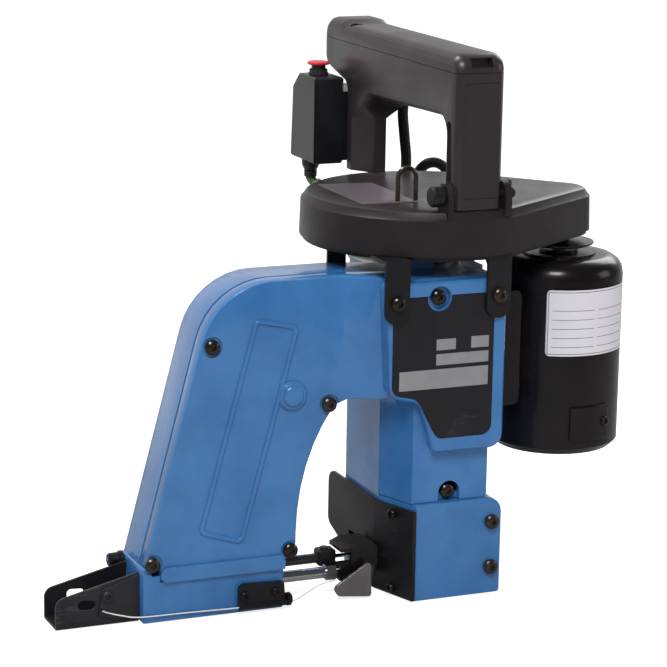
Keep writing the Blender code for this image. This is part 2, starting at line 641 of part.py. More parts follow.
def grooved(radius, bottom, tall, groove, bore, web_r, hub_r):
    """Profile of a pulley with a V groove, a thin web and a hub, round a bore."""
    top = bottom + tall
    middle = bottom + tall / 2
    return [
        (bore, bottom + 0.001), (hub_r, bottom + 0.001), (hub_r, middle - 0.002),
        (web_r, middle - 0.002), (web_r, bottom), (radius, bottom),
        (radius, middle - groove), (radius - groove, middle - 0.0012),
        (radius - groove, middle + 0.0012), (radius, middle + groove), (radius, top),
        (web_r, top), (web_r, middle + 0.002), (hub_r, middle + 0.002), (hub_r, top), (bore, top)]


def drive_pulley():
    profile = grooved(PULLEY_R, PULLEY_BOTTOM, PULLEY_TALL, PULLEY_GROOVE, SHAFT_R + GAP,
                      PULLEY_R - 0.008, 0.014)
    pulley = turned("drive_pulley", profile, (SHAFT_X, SHAFT_Y, 0), "z", "aluminium", 30, closed=True)
    for turn in range(5):
        angle = 2 * math.pi * turn / 5
        centre = (SHAFT_X + 0.0325 * math.cos(angle), SHAFT_Y + 0.0325 * math.sin(angle), 0)
        cut(pulley, rod("hole", centre, "z", 0.010, 0.20, 0.24, "aluminium", 10))
    return on_axis(pulley, (SHAFT_X, SHAFT_Y, PULLEY_BOTTOM))


def eccentric(name, z, tall, throw, radius):
    disc = rod(name, (SHAFT_X, SHAFT_Y + throw, 0), "z", radius, z, z + tall, "steel", 24)
    cut(disc, rod("bore", (SHAFT_X, SHAFT_Y, 0), "z", SHAFT_R + GAP, z - 0.01, z + tall + 0.01,
                  "steel", 20))
    return on_axis(disc, (SHAFT_X, SHAFT_Y, z))


def connecting_rod():
    """Rod from the eccentric's open strap to the top of the needle lever."""
    eye_x = LEVER_X + LEVER_HIGH * math.sin(LEVER_LEAN)
    ring_x = SHAFT_X - ROD_THROW
    join_x, join_y = ring_x - STRAP_R * 0.68, SHAFT_Y - STRAP_R * 0.68
    angle = math.atan2(join_y - LEVER_Y, join_x - eye_x)
    strap = rod("connecting_rod", (ring_x, SHAFT_Y, 0), "z", STRAP_R, ROD_Z - 0.003, ROD_Z + 0.003,
                "steel", 24)
    bar = box("bar", (0.006, -0.003, ROD_Z - 0.0025),
              (math.hypot(join_x - eye_x, join_y - LEVER_Y) + 0.002, 0.003, ROD_Z + 0.0025))
    bar.data.transform(Matrix.Rotation(angle, 4, "Z"))
    bar.data.transform(Matrix.Translation((eye_x, LEVER_Y, 0)))
    end = box("end", (eye_x - 0.006, LEVER_Y - 0.0048, ROD_Z - 0.006),
              (eye_x + 0.0145, LEVER_Y + 0.0048, ROD_Z + 0.006))
    join(strap, bar, end)
    cut(strap, rod("strap_bore", (ring_x, SHAFT_Y, 0), "z", STRAP_R - 0.0018, 0.1, 0.2, "steel", 24),
        rod("eye", (eye_x, 0, ROD_Z), "y", LEVER_PIN_R + 0.0011, 0.0, 0.08, "steel", 16),
        box("fork", (eye_x - 0.01, LEVER_Y - LEVER_HALF - 0.0005, ROD_Z - 0.01),
            (eye_x + 0.0095, LEVER_Y + LEVER_HALF + 0.0005, ROD_Z + 0.01)))
    return on_axis(strap, (eye_x, LEVER_Y, ROD_Z))


def needle_lever():
    """Two-armed lever: the top takes the connecting rod, the forked foot drives the needle bar."""
    side = rounded([
        (-0.0040, LEVER_HIGH + 0.004, 0.003), (0.0040, LEVER_HIGH + 0.004, 0.003), (0.0085, 0.0),
        (0.0050, -LEVER_LOW - 0.0100, 0.002), (-0.0075, -LEVER_LOW - 0.0100, 0.002),
        (-0.0085, 0.0)])
    lever = prism("needle_lever", side, "y", LEVER_Y - LEVER_HALF, LEVER_Y + LEVER_HALF, "cast_iron")
    hub = rod("hub", (0, 0, 0), "y", 0.0090, LEVER_Y - 0.0060, LEVER_Y + 0.0060, "cast_iron", 16)
    join(lever, hub)
    slot = rounded([(-0.0032, -LEVER_LOW - 0.02), (0.0032, -LEVER_LOW - 0.02),
                    (0.0032, -LEVER_LOW + 0.0045, 0.002), (-0.0032, -LEVER_LOW + 0.0045, 0.002)])
    cut(lever, prism("slot", slot, "y", 0.0, 0.1),
        rod("bore", (0, 0, 0), "y", 0.0040 + GAP, 0.0, 0.1, "steel", 16))
    pin = rod("pin", (0, 0, LEVER_HIGH), "y", LEVER_PIN_R, LEVER_Y - 0.0046, LEVER_Y + 0.0046,
              "steel", 16)
    join(lever, pin)
    lever.data.transform(Matrix.Rotation(LEVER_LEAN, 4, "Y"))
    lever.data.transform(Matrix.Translation((LEVER_X, 0, LEVER_Z)))
    return on_axis(lever, (LEVER_X, LEVER_Y, LEVER_Z))


def lever_pivot():
    return rod("lever_pivot", (LEVER_X, 0, LEVER_Z), "y", 0.0040,
               ARM_FRONT + WALL + GAP, ARM_BACK - 0.0020, "steel", 16)


def needle_bar():
    """Round bar with a flat block that holds the lever's pin."""
    bar = rod("needle_bar", (0, NEEDLE_Y, NEEDLE_Z), "x", NEEDLE_BAR_R, -0.1180, -0.0400, "dark_steel")
    block = box("block", (LEVER_PIN_X - 0.006, NEEDLE_Y - 0.0035, NEEDLE_Z - 0.0045),
                (LEVER_PIN_X + 0.0035, NEEDLE_Y + 0.0012, NEEDLE_Z + 0.0045), "dark_steel")
    pin = rod("pin", (LEVER_PIN_X, 0, NEEDLE_Z), "y", 0.0024, NEEDLE_Y, LEVER_Y + LEVER_HALF + 0.001,
              "steel", 16)
    return join(bar, block, pin)


def needle_clamp():
    """Black holder on the end of the needle bar, with its set screw."""
    clamp = box("needle_clamp", (-0.0490, NEEDLE_Y - 0.0043, NEEDLE_Z - 0.0046),
                (-0.0375, NEEDLE_Y + 0.0052, NEEDLE_Z + 0.0056), "black_metal")
    soften(clamp, 0.0012, 1)
    screw = rod("screw", (-0.0440, NEEDLE_Y, 0), "z", 0.0026, NEEDLE_Z + 0.0050, NEEDLE_Z + 0.0068,
                "black_metal", 12)
    join(clamp, screw)
    return cut(clamp, rod("bore", (0, NEEDLE_Y, NEEDLE_Z), "x", NEEDLE_BAR_R + GAP, -0.06, -0.0385,
                          "steel", 20),
               rod("needle_way", (0, NEEDLE_Y, NEEDLE_Z), "x", 0.0012 + GAP, -0.05, -0.03, "steel", 12))


def needle():
    shank = turned("needle", [
        (0.0012, -0.0398), (0.0012, -0.0260), (0.0008, -0.0235), (0.0008, -0.0020),
        (0.0002, 0.0030)], (0, NEEDLE_Y, NEEDLE_Z), "x", "chrome", 12)
    return shank


def presser_bar():
    bar = rod("presser_bar", (0, PRESSER_Y, PRESSER_Z), "x", PRESSER_BAR_R, -0.1500, -0.0480, "chrome")
    stud = rod("stud", (0, PRESSER_Y, PRESSER_Z), "x", PRESSER_BAR_R - 0.0002, -0.0500, -0.0384, "chrome")
    nut = rod("nut", (0, PRESSER_Y, PRESSER_Z), "x", 0.0052, -0.0475, -0.0412, "chrome", 6)
    collar = rod("collar", (0, PRESSER_Y, PRESSER_Z), "x", 0.0060, -0.1230, -0.1190, "chrome", 16)
    return join(bar, stud, nut, collar)


def presser_spring():
    """Compression spring round the presser bar, between its collar and the foot's left wall."""
    turns, count = 7, 7 * 8
    start, end = -0.1610, -0.1330
    radius, wire_r = 0.0052, 0.0006
    points = []
    for n in range(count + 1):
        angle = 2 * math.pi * turns * n / count
        points.append((start + (end - start) * n / count, PRESSER_Y + radius * math.cos(angle),
                       PRESSER_Z + radius * math.sin(angle)))
    return wire("presser_spring", points, wire_r, "steel", 0)


def presser_foot():
    """Foot that holds the bag against the throat plate: a roof, a front web, a sole and a socket.

    The sole ends in front of the needle, so that nothing crosses the needle's path."""
    sole = FOOT_FACE - 0.0004
    roof = rounded([(-0.0400, 0.0225), (sole, 0.0225, 0.001), (sole, 0.0500, 0.002),
                    (-0.0300, 0.0500, 0.002), (-0.0400, 0.0420, 0.002)])
    foot = prism("presser_foot", roof, "z", 0.0281, 0.0300, "black_metal")
    web = rounded([(-0.0335, 0.0150, 0.002), (sole, 0.0185), (sole, 0.0300, 0.002),
                   (-0.0335, 0.0300, 0.001)])
    join(foot, prism("web", web, "y", 0.0224, 0.0246, "black_metal"),
         box("sole", (sole - 0.0022, 0.0235, 0.0110), (sole, 0.0368, 0.0290), "black_metal"),
         box("rear_sole", (sole - 0.0022, 0.0434, 0.0180), (sole, 0.0495, 0.0290), "black_metal"),
         box("socket", (-0.0402, 0.0235, 0.0100), (-0.0300, 0.0346, 0.0190), "black_metal"))
    return cut(foot, rod("bar_seat", (0, PRESSER_Y, PRESSER_Z), "x", PRESSER_BAR_R - 0.0002 + GAP, -0.05,
                         -0.0380, "steel", 20))


def foot_guard():
    """Bright three-cornered plate on the front of the presser foot. Its face stays bare."""
    face = rounded([(-0.0475, 0.0085, 0.003), (-0.0440, 0.0030, 0.003), (-0.0224, 0.0006, 0.002),
                    (-0.0232, 0.0235, 0.002)])
    plate = prism("foot_guard", face, "y", 0.0160, 0.0180, "bright_steel")
    post = box("post", (-0.0350, 0.0175, 0.0105), (-0.0290, 0.0235 - GAP, 0.0140), "bright_steel")
    return join(plate, post)


def looper():
    """Hooked looper on its rocking shaft, beside the needle's path."""
    post = rod("looper", (0.0140, 0.0560, 0), "z", 0.0045, WALL + GAP, 0.0460, "steel", 16)
    hook = rounded([(0.0100, 0.0530), (0.0180, 0.0530), (0.0165, 0.0480, 0.003),
                    (0.0080, 0.0450, 0.004), (0.0055, 0.0360, 0.001), (0.0035, 0.0362),
                    (0.0030, 0.0470, 0.005)])
    blade = prism("blade", hook, "z", 0.0172, 0.0192, "steel")
    join(post, blade)
    return on_axis(post, (0.0140, 0.0560, 0.0100))


def feed_dog():
    """Toothed bar that pokes through the throat plate and walks the bag along."""
    left, right = BLOCK_LEFT - GAP - PLATE_SHEET - 0.0004, -0.0080
    dog = box("feed_dog", (left, 0.0400, 0.0092), (right, 0.0620, 0.0128), "steel")
    stem = box("stem", (right - 0.0005, 0.0470, 0.0095), (0.0060, 0.0530, 0.0125), "steel")
    join(dog, stem)
    tooth = 0.0022
    for n in range(8):
        y = 0.0415 + n * (tooth + 0.0004)
        cut(dog, prism("tooth_gap", [(left - 0.001, y), (left - 0.001, y + tooth),
                                     (left + 0.0010, y + tooth / 2)], "z", 0.0, 0.03, "steel"))
    return dog


def motor():
    """Hollow motor body with rounded shoulders, a raised spigot on top and a bore at each end."""
    low, high, r = MOTOR_BOTTOM, MOTOR_TOP, MOTOR_R
    bore = MOTOR_SHAFT_R + GAP
    shoulder = arc((r - MOTOR_SHOULDER, high - MOTOR_SHOULDER), MOTOR_SHOULDER, 0, math.pi / 2, 5)
    inner = r - MOTOR_WALL
    profile = ([(bore, low), (r - 0.004, low), (r, low + 0.004)]
               + shoulder
               + [(0.0232, high), (0.0230, high + 0.0012), (0.0123, high + 0.0012),
                  (0.0120, high + 0.003), (bore, high + 0.003), (bore, high - 0.005),
                  (inner - MOTOR_SHOULDER, high - 0.005), (inner, high - MOTOR_SHOULDER - 0.004),
                  (inner, low + 0.005), (bore, low + 0.005)])
    return turned("motor_housing", profile, (MOTOR_X, MOTOR_Y, 0), "z", "black_paint", MOTOR_SIDES, closed=True)


def motor_stator():
    """Ring of the motor's windings, pressed into the housing."""
    outer = (MOTOR_R - MOTOR_WALL) * math.cos(math.pi / MOTOR_SIDES) - GAP
    return turned("motor_stator", [(0.0285, 0.105), (outer, 0.105), (outer, 0.155), (0.0285, 0.155)],
                  (MOTOR_X, MOTOR_Y, 0), "z", "copper", MOTOR_SIDES, closed=True)


def motor_hatch():
    """Raised rectangular cover of the motor's brush low on its front."""
    angle = math.radians(-84)
    wide = math.radians(19)
    inner, outer = MOTOR_R + GAP, MOTOR_R + 0.0022
    ring = arc((MOTOR_X, MOTOR_Y), outer, angle - wide, angle + wide, 7)
    ring += arc((MOTOR_X, MOTOR_Y), inner, angle + wide, angle - wide, 7)
    return prism("motor_hatch", ring, "z", 0.0860, 0.1070, "black_paint")


def motor_bracket():
    """Mount between the column's side and the motor: a base, a front flange and two saddles."""
    left = COLUMN_WIDE_RIGHT + GAP
    bracket = box("motor_bracket", (left, 0.0275, 0.1093), (left + 0.0030, 0.0780, 0.1807),
                  "black_paint")
    face = rounded([(left, 0.1093), (0.0772, 0.1093, 0.004), (0.0772, 0.1807, 0.004), (left, 0.1807)])
    join(bracket, prism("flange", face, "y", 0.0255, 0.0285, "black_paint"))
    for z in (0.1180, 0.1700):
        saddle = box("saddle", (left + 0.001, 0.0270, z), (0.0800, 0.0770, z + 0.0040), "black_paint")
        cut(saddle, box("front", (0.0740, 0.0, z - 0.01), (0.1, 0.0300, z + 0.01)))
        join(bracket, saddle)
    return cut(bracket, rod("motor_space", (MOTOR_X, MOTOR_Y, 0), "z", MOTOR_R + GAP, 0.05, 0.22,
                            "black_paint", 48))


def motor_rotor():
    """Motor shaft with the rotor on it."""
    shaft = turned("motor_rotor", [
        (MOTOR_SHAFT_R, MOTOR_BOTTOM + 0.001), (MOTOR_SHAFT_R, 0.0990), (ROTOR_R, 0.1000),
        (ROTOR_R, 0.1600), (MOTOR_SHAFT_R, 0.1610), (MOTOR_SHAFT_R, 0.2310),
        (MOTOR_SHAFT_R - 0.0006, 0.2318)], (MOTOR_X, MOTOR_Y, 0), "z", "chrome", 20)
    return on_axis(shaft, (MOTOR_X, MOTOR_Y, MOTOR_BOTTOM))


def motor_pulley():
    profile = grooved(MOTOR_PULLEY_R, PULLEY_BOTTOM + 0.001, PULLEY_TALL - 0.002, PULLEY_GROOVE,
                      MOTOR_SHAFT_R + GAP, 0.0060, 0.0058)
    pulley = turned("motor_pulley", profile, (MOTOR_X, MOTOR_Y, 0), "z", "aluminium", 16, closed=True)
    return on_axis(pulley, (MOTOR_X, MOTOR_Y, PULLEY_BOTTOM))


def motor_fan():
    """Cooling disc on the motor shaft, just above the motor's top."""
    disc = turned("motor_fan", [
        (MOTOR_SHAFT_R + GAP, 0.2015), (0.0195, 0.2015), (0.0215, 0.2025), (0.0215, 0.2035),
        (0.0060, 0.2045), (0.0060, 0.2075), (MOTOR_SHAFT_R + GAP, 0.2075)],
        (MOTOR_X, MOTOR_Y, 0), "z", "black_paint", 24, closed=True)
    return on_axis(disc, (MOTOR_X, MOTOR_Y, 0.2015))


def drive_belt():
    """V belt round both pulleys, as a closed band."""
    big = PULLEY_R - PULLEY_GROOVE + GAP + 0.0002
    small = MOTOR_PULLEY_R - PULLEY_GROOVE + GAP + 0.0002
    span = math.hypot(MOTOR_X - SHAFT_X, MOTOR_Y - SHAFT_Y)
    along = math.atan2(MOTOR_Y - SHAFT_Y, MOTOR_X - SHAFT_X)
    turn = math.acos((big - small) / span)
    middle = PULLEY_BOTTOM + PULLEY_TALL / 2

    def loop(extra, z):
        path = arc((SHAFT_X, SHAFT_Y), big + extra, along + turn, along + 2 * math.pi - turn, 32)
        path += arc((MOTOR_X, MOTOR_Y), small + extra, along - turn, along + turn, 8)
        return [(p[0], p[1], z) for p in path]

    thin, wide = 0.0010, BELT_WIDE / 2
    rings = [loop(0.0, middle - thin), loop(BELT_THICK, middle - wide + 0.0006),
             loop(BELT_THICK, middle + wide - 0.0006), loop(0.0, middle + thin)]
    return lofted("drive_belt", rings, "rubber", closed=True)


# ---------------------------------------------------------------- belt cover and its bracket
def belt_cover():
    """Moulded belt cover, open below, with a stepped shoulder and two ears for the handle's pin."""
    levels = [
        (COVER_WALL + 0.0005 + COVER_SHOULDER, COVER_TOP - COVER_WALL),
        (COVER_WALL + 0.0005, COVER_TOP - COVER_SHOULDER - 0.001), (COVER_WALL, COVER_BOTTOM),
        (0.0, COVER_BOTTOM), (0.0006, COVER_TOP - COVER_SHOULDER),
        (0.0018, COVER_TOP - COVER_SHOULDER + 0.0012),
        (COVER_SHOULDER - 0.0012, COVER_TOP - 0.0008), (COVER_SHOULDER + 0.0006, COVER_TOP)]
    rings = [[(*p, z) for p in cover_outline(shrink)] for shrink, z in levels]
    cover = lofted("belt_cover", rings, "black_plastic")
    ears = [(HANDLE_LEFT - 0.0042, HANDLE_LEFT - GAP - 0.0004),
            (HANDLE_RIGHT + GAP + 0.0004, HANDLE_RIGHT + 0.0048)]
    for low, high in ears:
        side = [(PIN_Y + EAR_R, COVER_TOP - 0.001), (PIN_Y - EAR_R, COVER_TOP - 0.0045)]
        side += arc((PIN_Y, PIN_Z), EAR_R, math.pi, 0, 9)
        join(cover, prism("ear", side, "x", low, high, "black_plastic"))
    return cut(cover, rod("pin_way", (0, PIN_Y, PIN_Z), "x", PIN_R + GAP, 0.0, 0.08, "steel", 16))


def cover_bracket():
    """Flat plate under the belt, with two straps bent down in front and one behind the arm."""
    level = COVER_BOTTOM - GAP - STRAP_THICK
    plate = prism("cover_bracket", cover_outline(BRACKET_INSET), "z", level, level + STRAP_THICK,
                  "black_metal")
    cut(plate, rod("shaft_way", (SHAFT_X, SHAFT_Y, 0), "z", 0.040, 0.1, 0.3, "black_metal", 32),
        rod("motor_way", (MOTOR_X, MOTOR_Y, 0), "z", 0.0130, 0.1, 0.3, "black_metal", 20))
    face = PANEL_FRONT - GAP
    for left, bottom in ((-0.0271, 0.1729), (0.0383, 0.1725)):
        outline = rounded([(left, level + STRAP_THICK), (left, bottom, 0.007),
                           (left + STRAP_WIDE, bottom, 0.007),
                           (left + STRAP_WIDE, level + STRAP_THICK)])
        leg = prism("strap", outline, "y", face - STRAP_THICK, face, "black_metal")
        foot = box("strap_foot", (left, face - STRAP_THICK, level),
                   (left + STRAP_WIDE, 0.0240, level + STRAP_THICK), "black_metal")
        join(plate, leg, foot)
    rear = ARM_BACK + GAP
    leg = box("rear_strap", (-0.0360, rear, 0.1780), (-0.0240, rear + STRAP_THICK, level + 0.001),
              "black_metal")
    return join(plate, leg)


# ---------------------------------------------------------------- handle and switch
def handle_blank(name):
    """Side outline of the handle, front leg to the left, with the hand opening cut through."""
    below = COVER_TOP - 0.015
    side = rounded([
        (HANDLE_FRONT, below), (HANDLE_FRONT, HANDLE_TOP, 0.010),
        (0.160, HANDLE_TOP, 0.006), (0.166, HANDLE_TOP + 0.0022, 0.006),
        (HANDLE_END, HANDLE_TOP + 0.0022, 0.012), (HANDLE_END, GRIP_UNDER + 0.0115, 0.010),
        (FAR_LEG_BACK, GRIP_UNDER + 0.0025, 0.006), (FAR_LEG_BACK, below), (FAR_LEG_FRONT, below),
        (FAR_LEG_FRONT - 0.0015, GRIP_UNDER - 0.0010, 0.013),
        (NEAR_LEG_BACK, GRIP_UNDER + 0.0025, HAND_CORNER), (NEAR_LEG_BACK, below)])
    blank = prism(name, side, "x", HANDLE_LEFT, HANDLE_RIGHT, "grey_plastic")
    soften(blank, HANDLE_EDGE, 3, 70)
    return cut(blank, box("feet", (0.0, -0.05, 0.2), (0.1, 0.25, COVER_TOP + GAP)))


def leg_flank(side, *stations):
    """Wedge that takes one front corner off the far leg; each station is (z, front x, back y)."""
    rings = []
    for z, x, y in stations:
        rings.append([(side, y, z), (x, FAR_LEG_FRONT - 0.0015, z), (x, FAR_LEG_FRONT - 0.03, z),
                      (side, FAR_LEG_FRONT - 0.03, z)])
    return lofted("leg_flank", rings, "grey_plastic")


def handle_body():
    body = handle_blank("handle_body")
    above = box("above", (0.0, -0.05, HANDLE_SPLIT - GAP / 2), (0.1, 0.25, 0.40))
    slot = prism("slot", rounded([(-0.0005, 0.2520, 0.0028), (0.0055, 0.2520, 0.0028),
                                  (0.0068, 0.2890, 0.0028), (0.0010, 0.2890, 0.0028)]),
                 "x", HANDLE_LEFT - 0.01, HANDLE_LEFT + 0.004)
    front = rounded([(HANDLE_LEFT + 0.0050, 0.2440, 0.002), (HANDLE_RIGHT - 0.0030, 0.2440, 0.002),
                     (HANDLE_RIGHT - 0.0030, 0.3120, 0.002), (HANDLE_LEFT + 0.0050, 0.3120, 0.002)])
    panel = prism("panel", front, "y", HANDLE_FRONT - 0.01, HANDLE_FRONT + 0.0008)
    hole = rod("pin_way", (0, PIN_Y, PIN_Z), "x", PIN_R + GAP, 0.0, 0.08, "steel", 16)
    low, high, out = COVER_TOP - 0.01, GRIP_UNDER - 0.006, HANDLE_LEFT + 0.0010
    left = leg_flank(0.010, (low, 0.0245, 0.1541), (GRIP_UNDER - 0.0155, 0.0245, 0.1541), (high, out, 0.1340))
    right = leg_flank(0.055, (low, 0.0319, 0.1832), (GRIP_UNDER - 0.0155, 0.0319, 0.1832), (high, 0.0460, 0.1340))
    return cut(body, above, slot, panel, hole, left, right)


def handle_top():
    top = handle_blank("handle_top")
    below = box("below", (0.0, -0.05, 0.10), (0.1, 0.25, HANDLE_SPLIT + GAP / 2))
    pocket = box("pocket", (HANDLE_LEFT + 0.0095, HANDLE_FRONT - 0.01, HANDLE_SPLIT + 0.0030),
                 (HANDLE_RIGHT - 0.0085, HANDLE_FRONT + 0.0070, HANDLE_SPLIT + 0.0085))
    dimple = rod("dimple", (0.0215, 0.1560, 0), "z", 0.0040, HANDLE_TOP - 0.0015, 0.34, "blue", 16)
    return cut(top, below, pocket, dimple)


def handle_pin():
    low, high = HANDLE_LEFT - 0.0125, HANDLE_RIGHT + 0.0095
    pin = turned("handle_pin", [
        (0.0052, low), (0.0062, low + 0.0012), (0.0062, low + 0.0068), (PIN_R, low + 0.0072),
        (PIN_R, high - 0.001), (PIN_R - 0.0008, high)], (0, PIN_Y, PIN_Z), "x", "black_metal", 18)
    return cut(pin, rod("clip_way", (HANDLE_RIGHT + 0.0072, PIN_Y, 0), "z", 0.0009 + GAP, 0.2, 0.3,
                        "steel", 12))


def pin_clip():
    """Split pin through the end of the handle's pin."""
    x = HANDLE_RIGHT + 0.0072
    points = [(x, PIN_Y, PIN_Z - 0.0065), (x, PIN_Y, PIN_Z + 0.0050)]
    points += [(x, y, z) for y, z in arc((PIN_Y + 0.0016, PIN_Z + 0.0060), 0.0016, math.pi, 0, 5)]
    points += [(x, PIN_Y + 0.0040, PIN_Z + 0.0010)]
    return wire("pin_clip", points, 0.0009, "steel", 1)


def switch_box():
    """Switch box: tall beside the handle's end, lower where it sits on the back of the leg."""
    front = FAR_LEG_BACK + GAP
    side = rounded([
        (front, SWITCH_BOTTOM, 0.0015), (SWITCH_BACK, SWITCH_BOTTOM, 0.0015),
        (SWITCH_BACK - 0.003, 0.2860, 0.0015), (SWITCH_BACK - 0.013, SWITCH_TOP, 0.0015),
        (front, SWITCH_TOP, 0.0015)])
    case = prism("switch_box", side, "x", SWITCH_LEFT, HANDLE_LEFT - GAP, "black_plastic")
    seat = box("seat", (HANDLE_LEFT - 0.004, front, SWITCH_BOTTOM + 0.002),
               (HANDLE_RIGHT - 0.009, SWITCH_BACK - 0.004, 0.2860), "black_plastic")
    soften(case, 0.0012, 1, 60)
    join(case, seat)
    step = box("step", (SWITCH_LEFT - 0.001, front - 0.01, SWITCH_BOTTOM - 0.01),
               (SWITCH_LEFT + 0.0016, front + 0.0016, SWITCH_TOP + 0.01))
    hole = rod("hole", (BUTTON_X, BUTTON_Y, 0), "z", 0.0034, SWITCH_TOP - 0.012, 0.31, "blue", 16)
    cut(case, step, hole)
    gland = turned("gland", [
        (0.0036, SWITCH_BOTTOM - GLAND_TALL), (0.0048, SWITCH_BOTTOM - GLAND_TALL + 0.0020),
        (0.0058, SWITCH_BOTTOM - 0.0030), (0.0058, SWITCH_BOTTOM + 0.001)],
        (SWITCH_LEAD[0][0], SWITCH_LEAD[0][1], 0), "z", "rubber", 16)
    return join(case, gland)


def button_bush():
    z = SWITCH_TOP + GAP
    bore = STEM_R + GAP
    return turned("button_bush", [
        (bore, z), (BUSH_R + 0.0006, z), (BUSH_R + 0.0006, z + 0.0012), (BUSH_R, z + 0.0014),
        (BUSH_R, z + BUSH_TALL), (bore, z + BUSH_TALL)],
        (BUTTON_X, BUTTON_Y, 0), "z", "black_plastic", 20, closed=True)


def start_button():
    """Red push button: a thin cap on a stem that runs in the bush."""
    z = SWITCH_TOP + GAP + BUSH_TALL + BUTTON_TRAVEL + 0.0004
    return turned("start_button", [
        (0.0028, SWITCH_TOP - 0.0080), (0.0028, SWITCH_TOP + BUTTON_TRAVEL + 0.0004),
        (STEM_R, SWITCH_TOP + BUTTON_TRAVEL + 0.0008), (STEM_R, z), (BUTTON_R - 0.0006, z),
        (BUTTON_R, z + 0.0006), (BUTTON_R, z + 0.0013), (BUTTON_R - 0.0010, z + 0.0019),
        (0.0035, z + 0.0016)],
        (BUTTON_X, BUTTON_Y, 0), "z", "red_plastic", 20)


# ---------------------------------------------------------------- leads and thread
ENTRY_Y = COLUMN_BACK + GAP
SWITCH_LEAD = [(0.0020, 0.1815, SWITCH_BOTTOM - GLAND_TALL - 0.0009),
               (0.0020, 0.1815, SWITCH_BOTTOM - GLAND_TALL - 0.0045), (0.0048, 0.1788, 0.2235),
               (0.0085, 0.1740, 0.2180), (0.0105, 0.1650, 0.2070), (0.0105, 0.1450, 0.1930),
               (0.0090, 0.1200, 0.1850), (0.0080, 0.1000, 0.1830), (0.0080, ENTRY_Y, 0.1830)]
HANDLE_LEAD = [(HANDLE_RIGHT + GAP, 0.1440, 0.2940), (0.0503, 0.1440, 0.2937),
               (0.0520, 0.1450, 0.2895), (0.0518, 0.1475, 0.2820), (0.0515, 0.1490, 0.2720),
               (0.0533, 0.1497, 0.2570), (0.0548, 0.1495, 0.2400), (0.0520, 0.1480, 0.2200),
               (0.0430, 0.1400, 0.2020), (0.0310, 0.1230, 0.1860), (0.0240, 0.1040, 0.1790),
               (0.0240, ENTRY_Y, 0.1770)]
MOTOR_LEAD = [(0.0360, ENTRY_Y, 0.1500), (0.0370, 0.1080, 0.1510), (0.0420, 0.1290, 0.1640),
              (0.0500, 0.1440, 0.1880), (0.0590, 0.1530, 0.2170), (0.0680, 0.1545, 0.2350),
              (0.0790, 0.1520, 0.2378), (0.0890, 0.1460, 0.2260), (0.0970, 0.1380, 0.2060),
              (0.1040, 0.1290, 0.1840), (0.1100, 0.1180, 0.1600), (0.1150, 0.1080, 0.1370),
              (MOTOR_X, MOTOR_Y + MOTOR_R + 0.0050, 0.1330),
              (MOTOR_X, MOTOR_Y + MOTOR_R + 2 * GAP, 0.1330)]
THREAD = [(-0.1900, 0.0221, 0.0095), (-0.1870, 0.0195, 0.0088), (-0.1800, 0.0178, 0.0070),
          (-0.1690, 0.0160, 0.0052), (-0.1400, 0.0158, 0.0046), (-0.1090, 0.0146, 0.0042),
          (-0.0950, 0.0146, 0.0042), (-0.0820, 0.0146, 0.0042), (-0.0745, 0.0146, 0.0042),
          (-0.0650, 0.0170, 0.0070), (-0.0560, 0.0196, 0.0103), (-0.0445, 0.0203, 0.0123)]


def lead(name, points, radius, look):
    return wire(name, smooth_route(points, 5 * radius), radius, look, 2)


def thread_loop():
    """Inverted U of bent wire that leads the thread over the belt cover."""
    x, y, half, top = 0.0034, 0.0350, 0.0058, 0.2518
    points = [(x - half, y, COVER_TOP + GAP), (x - half, y, top - 0.001)]
    points += [(px, y, pz) for px, pz in arc((x, top), half, math.pi, 0, 9)]
    points += [(x + half, y, top - 0.001), (x + half, y, COVER_TOP + GAP)]
    return wire("thread_loop", points, 0.0015, "bronze", 2)


def thread_bracket():
    """Black plate on the foot's front, with the thread tube along its lower edge."""
    front, back = 0.0140, ARM_FRONT - GAP
    face = rounded([(-0.1085, 0.0042), (-0.0790, 0.0035), (-0.0800, 0.0175, 0.002),
                    (-0.1060, 0.0185, 0.003), (-0.1085, 0.0160, 0.003)])
    plate = prism("thread_bracket", face, "y", front, back, "black_metal")
    tube = rod("tube", (0, front + 0.0006, 0.0042), "x", 0.0018, -0.1085, -0.0780, "black_metal", 12)
    eye = turned("eye", [(0.0030, -0.0785), (0.0040, -0.0783), (0.0040, -0.0762), (0.0028, -0.0752)],
                 (0, front + 0.0006, 0.0062), "x", "black_metal", 14)
    join(plate, tube, eye)
    return cut(plate, rod("way", (0, front + 0.0006, 0.0042), "x", 0.0009, -0.12, -0.07, "steel", 10))


def tension_knob():
    bore, face = KNOB_POST_R + GAP, FOOT_LEFT - GAP
    knob = turned("tension_knob", [
        (bore, face - 0.0090), (0.0034, face - 0.0090), (0.0042, face - 0.0080),
        (0.0042, face - 0.0030), (0.0050, face - 0.0020), (0.0050, face), (bore, face)],
        (0, KNOB_Y, KNOB_Z), "x", "black_metal", 16, closed=True)
    return on_axis(knob, (face, KNOB_Y, KNOB_Z))


# ---------------------------------------------------------------- fasteners
def socket_screw(name, x, y, z):
    """Button head with a hexagon socket, its head out towards the front."""
    back = y - GAP
    front = back - SCREW_TALL
    head = turned(name, [
        (SCREW_R, back), (SCREW_R, front + 0.0014), (SCREW_R - 0.0012, front + 0.0003),
        (SCREW_R - 0.0022, front)], (x, 0, z), "y", "bronze", 12)
    return cut(head, rod("socket", (x, 0, z), "y", 0.0018, front - 0.01, front + 0.0018, "bronze", 6))


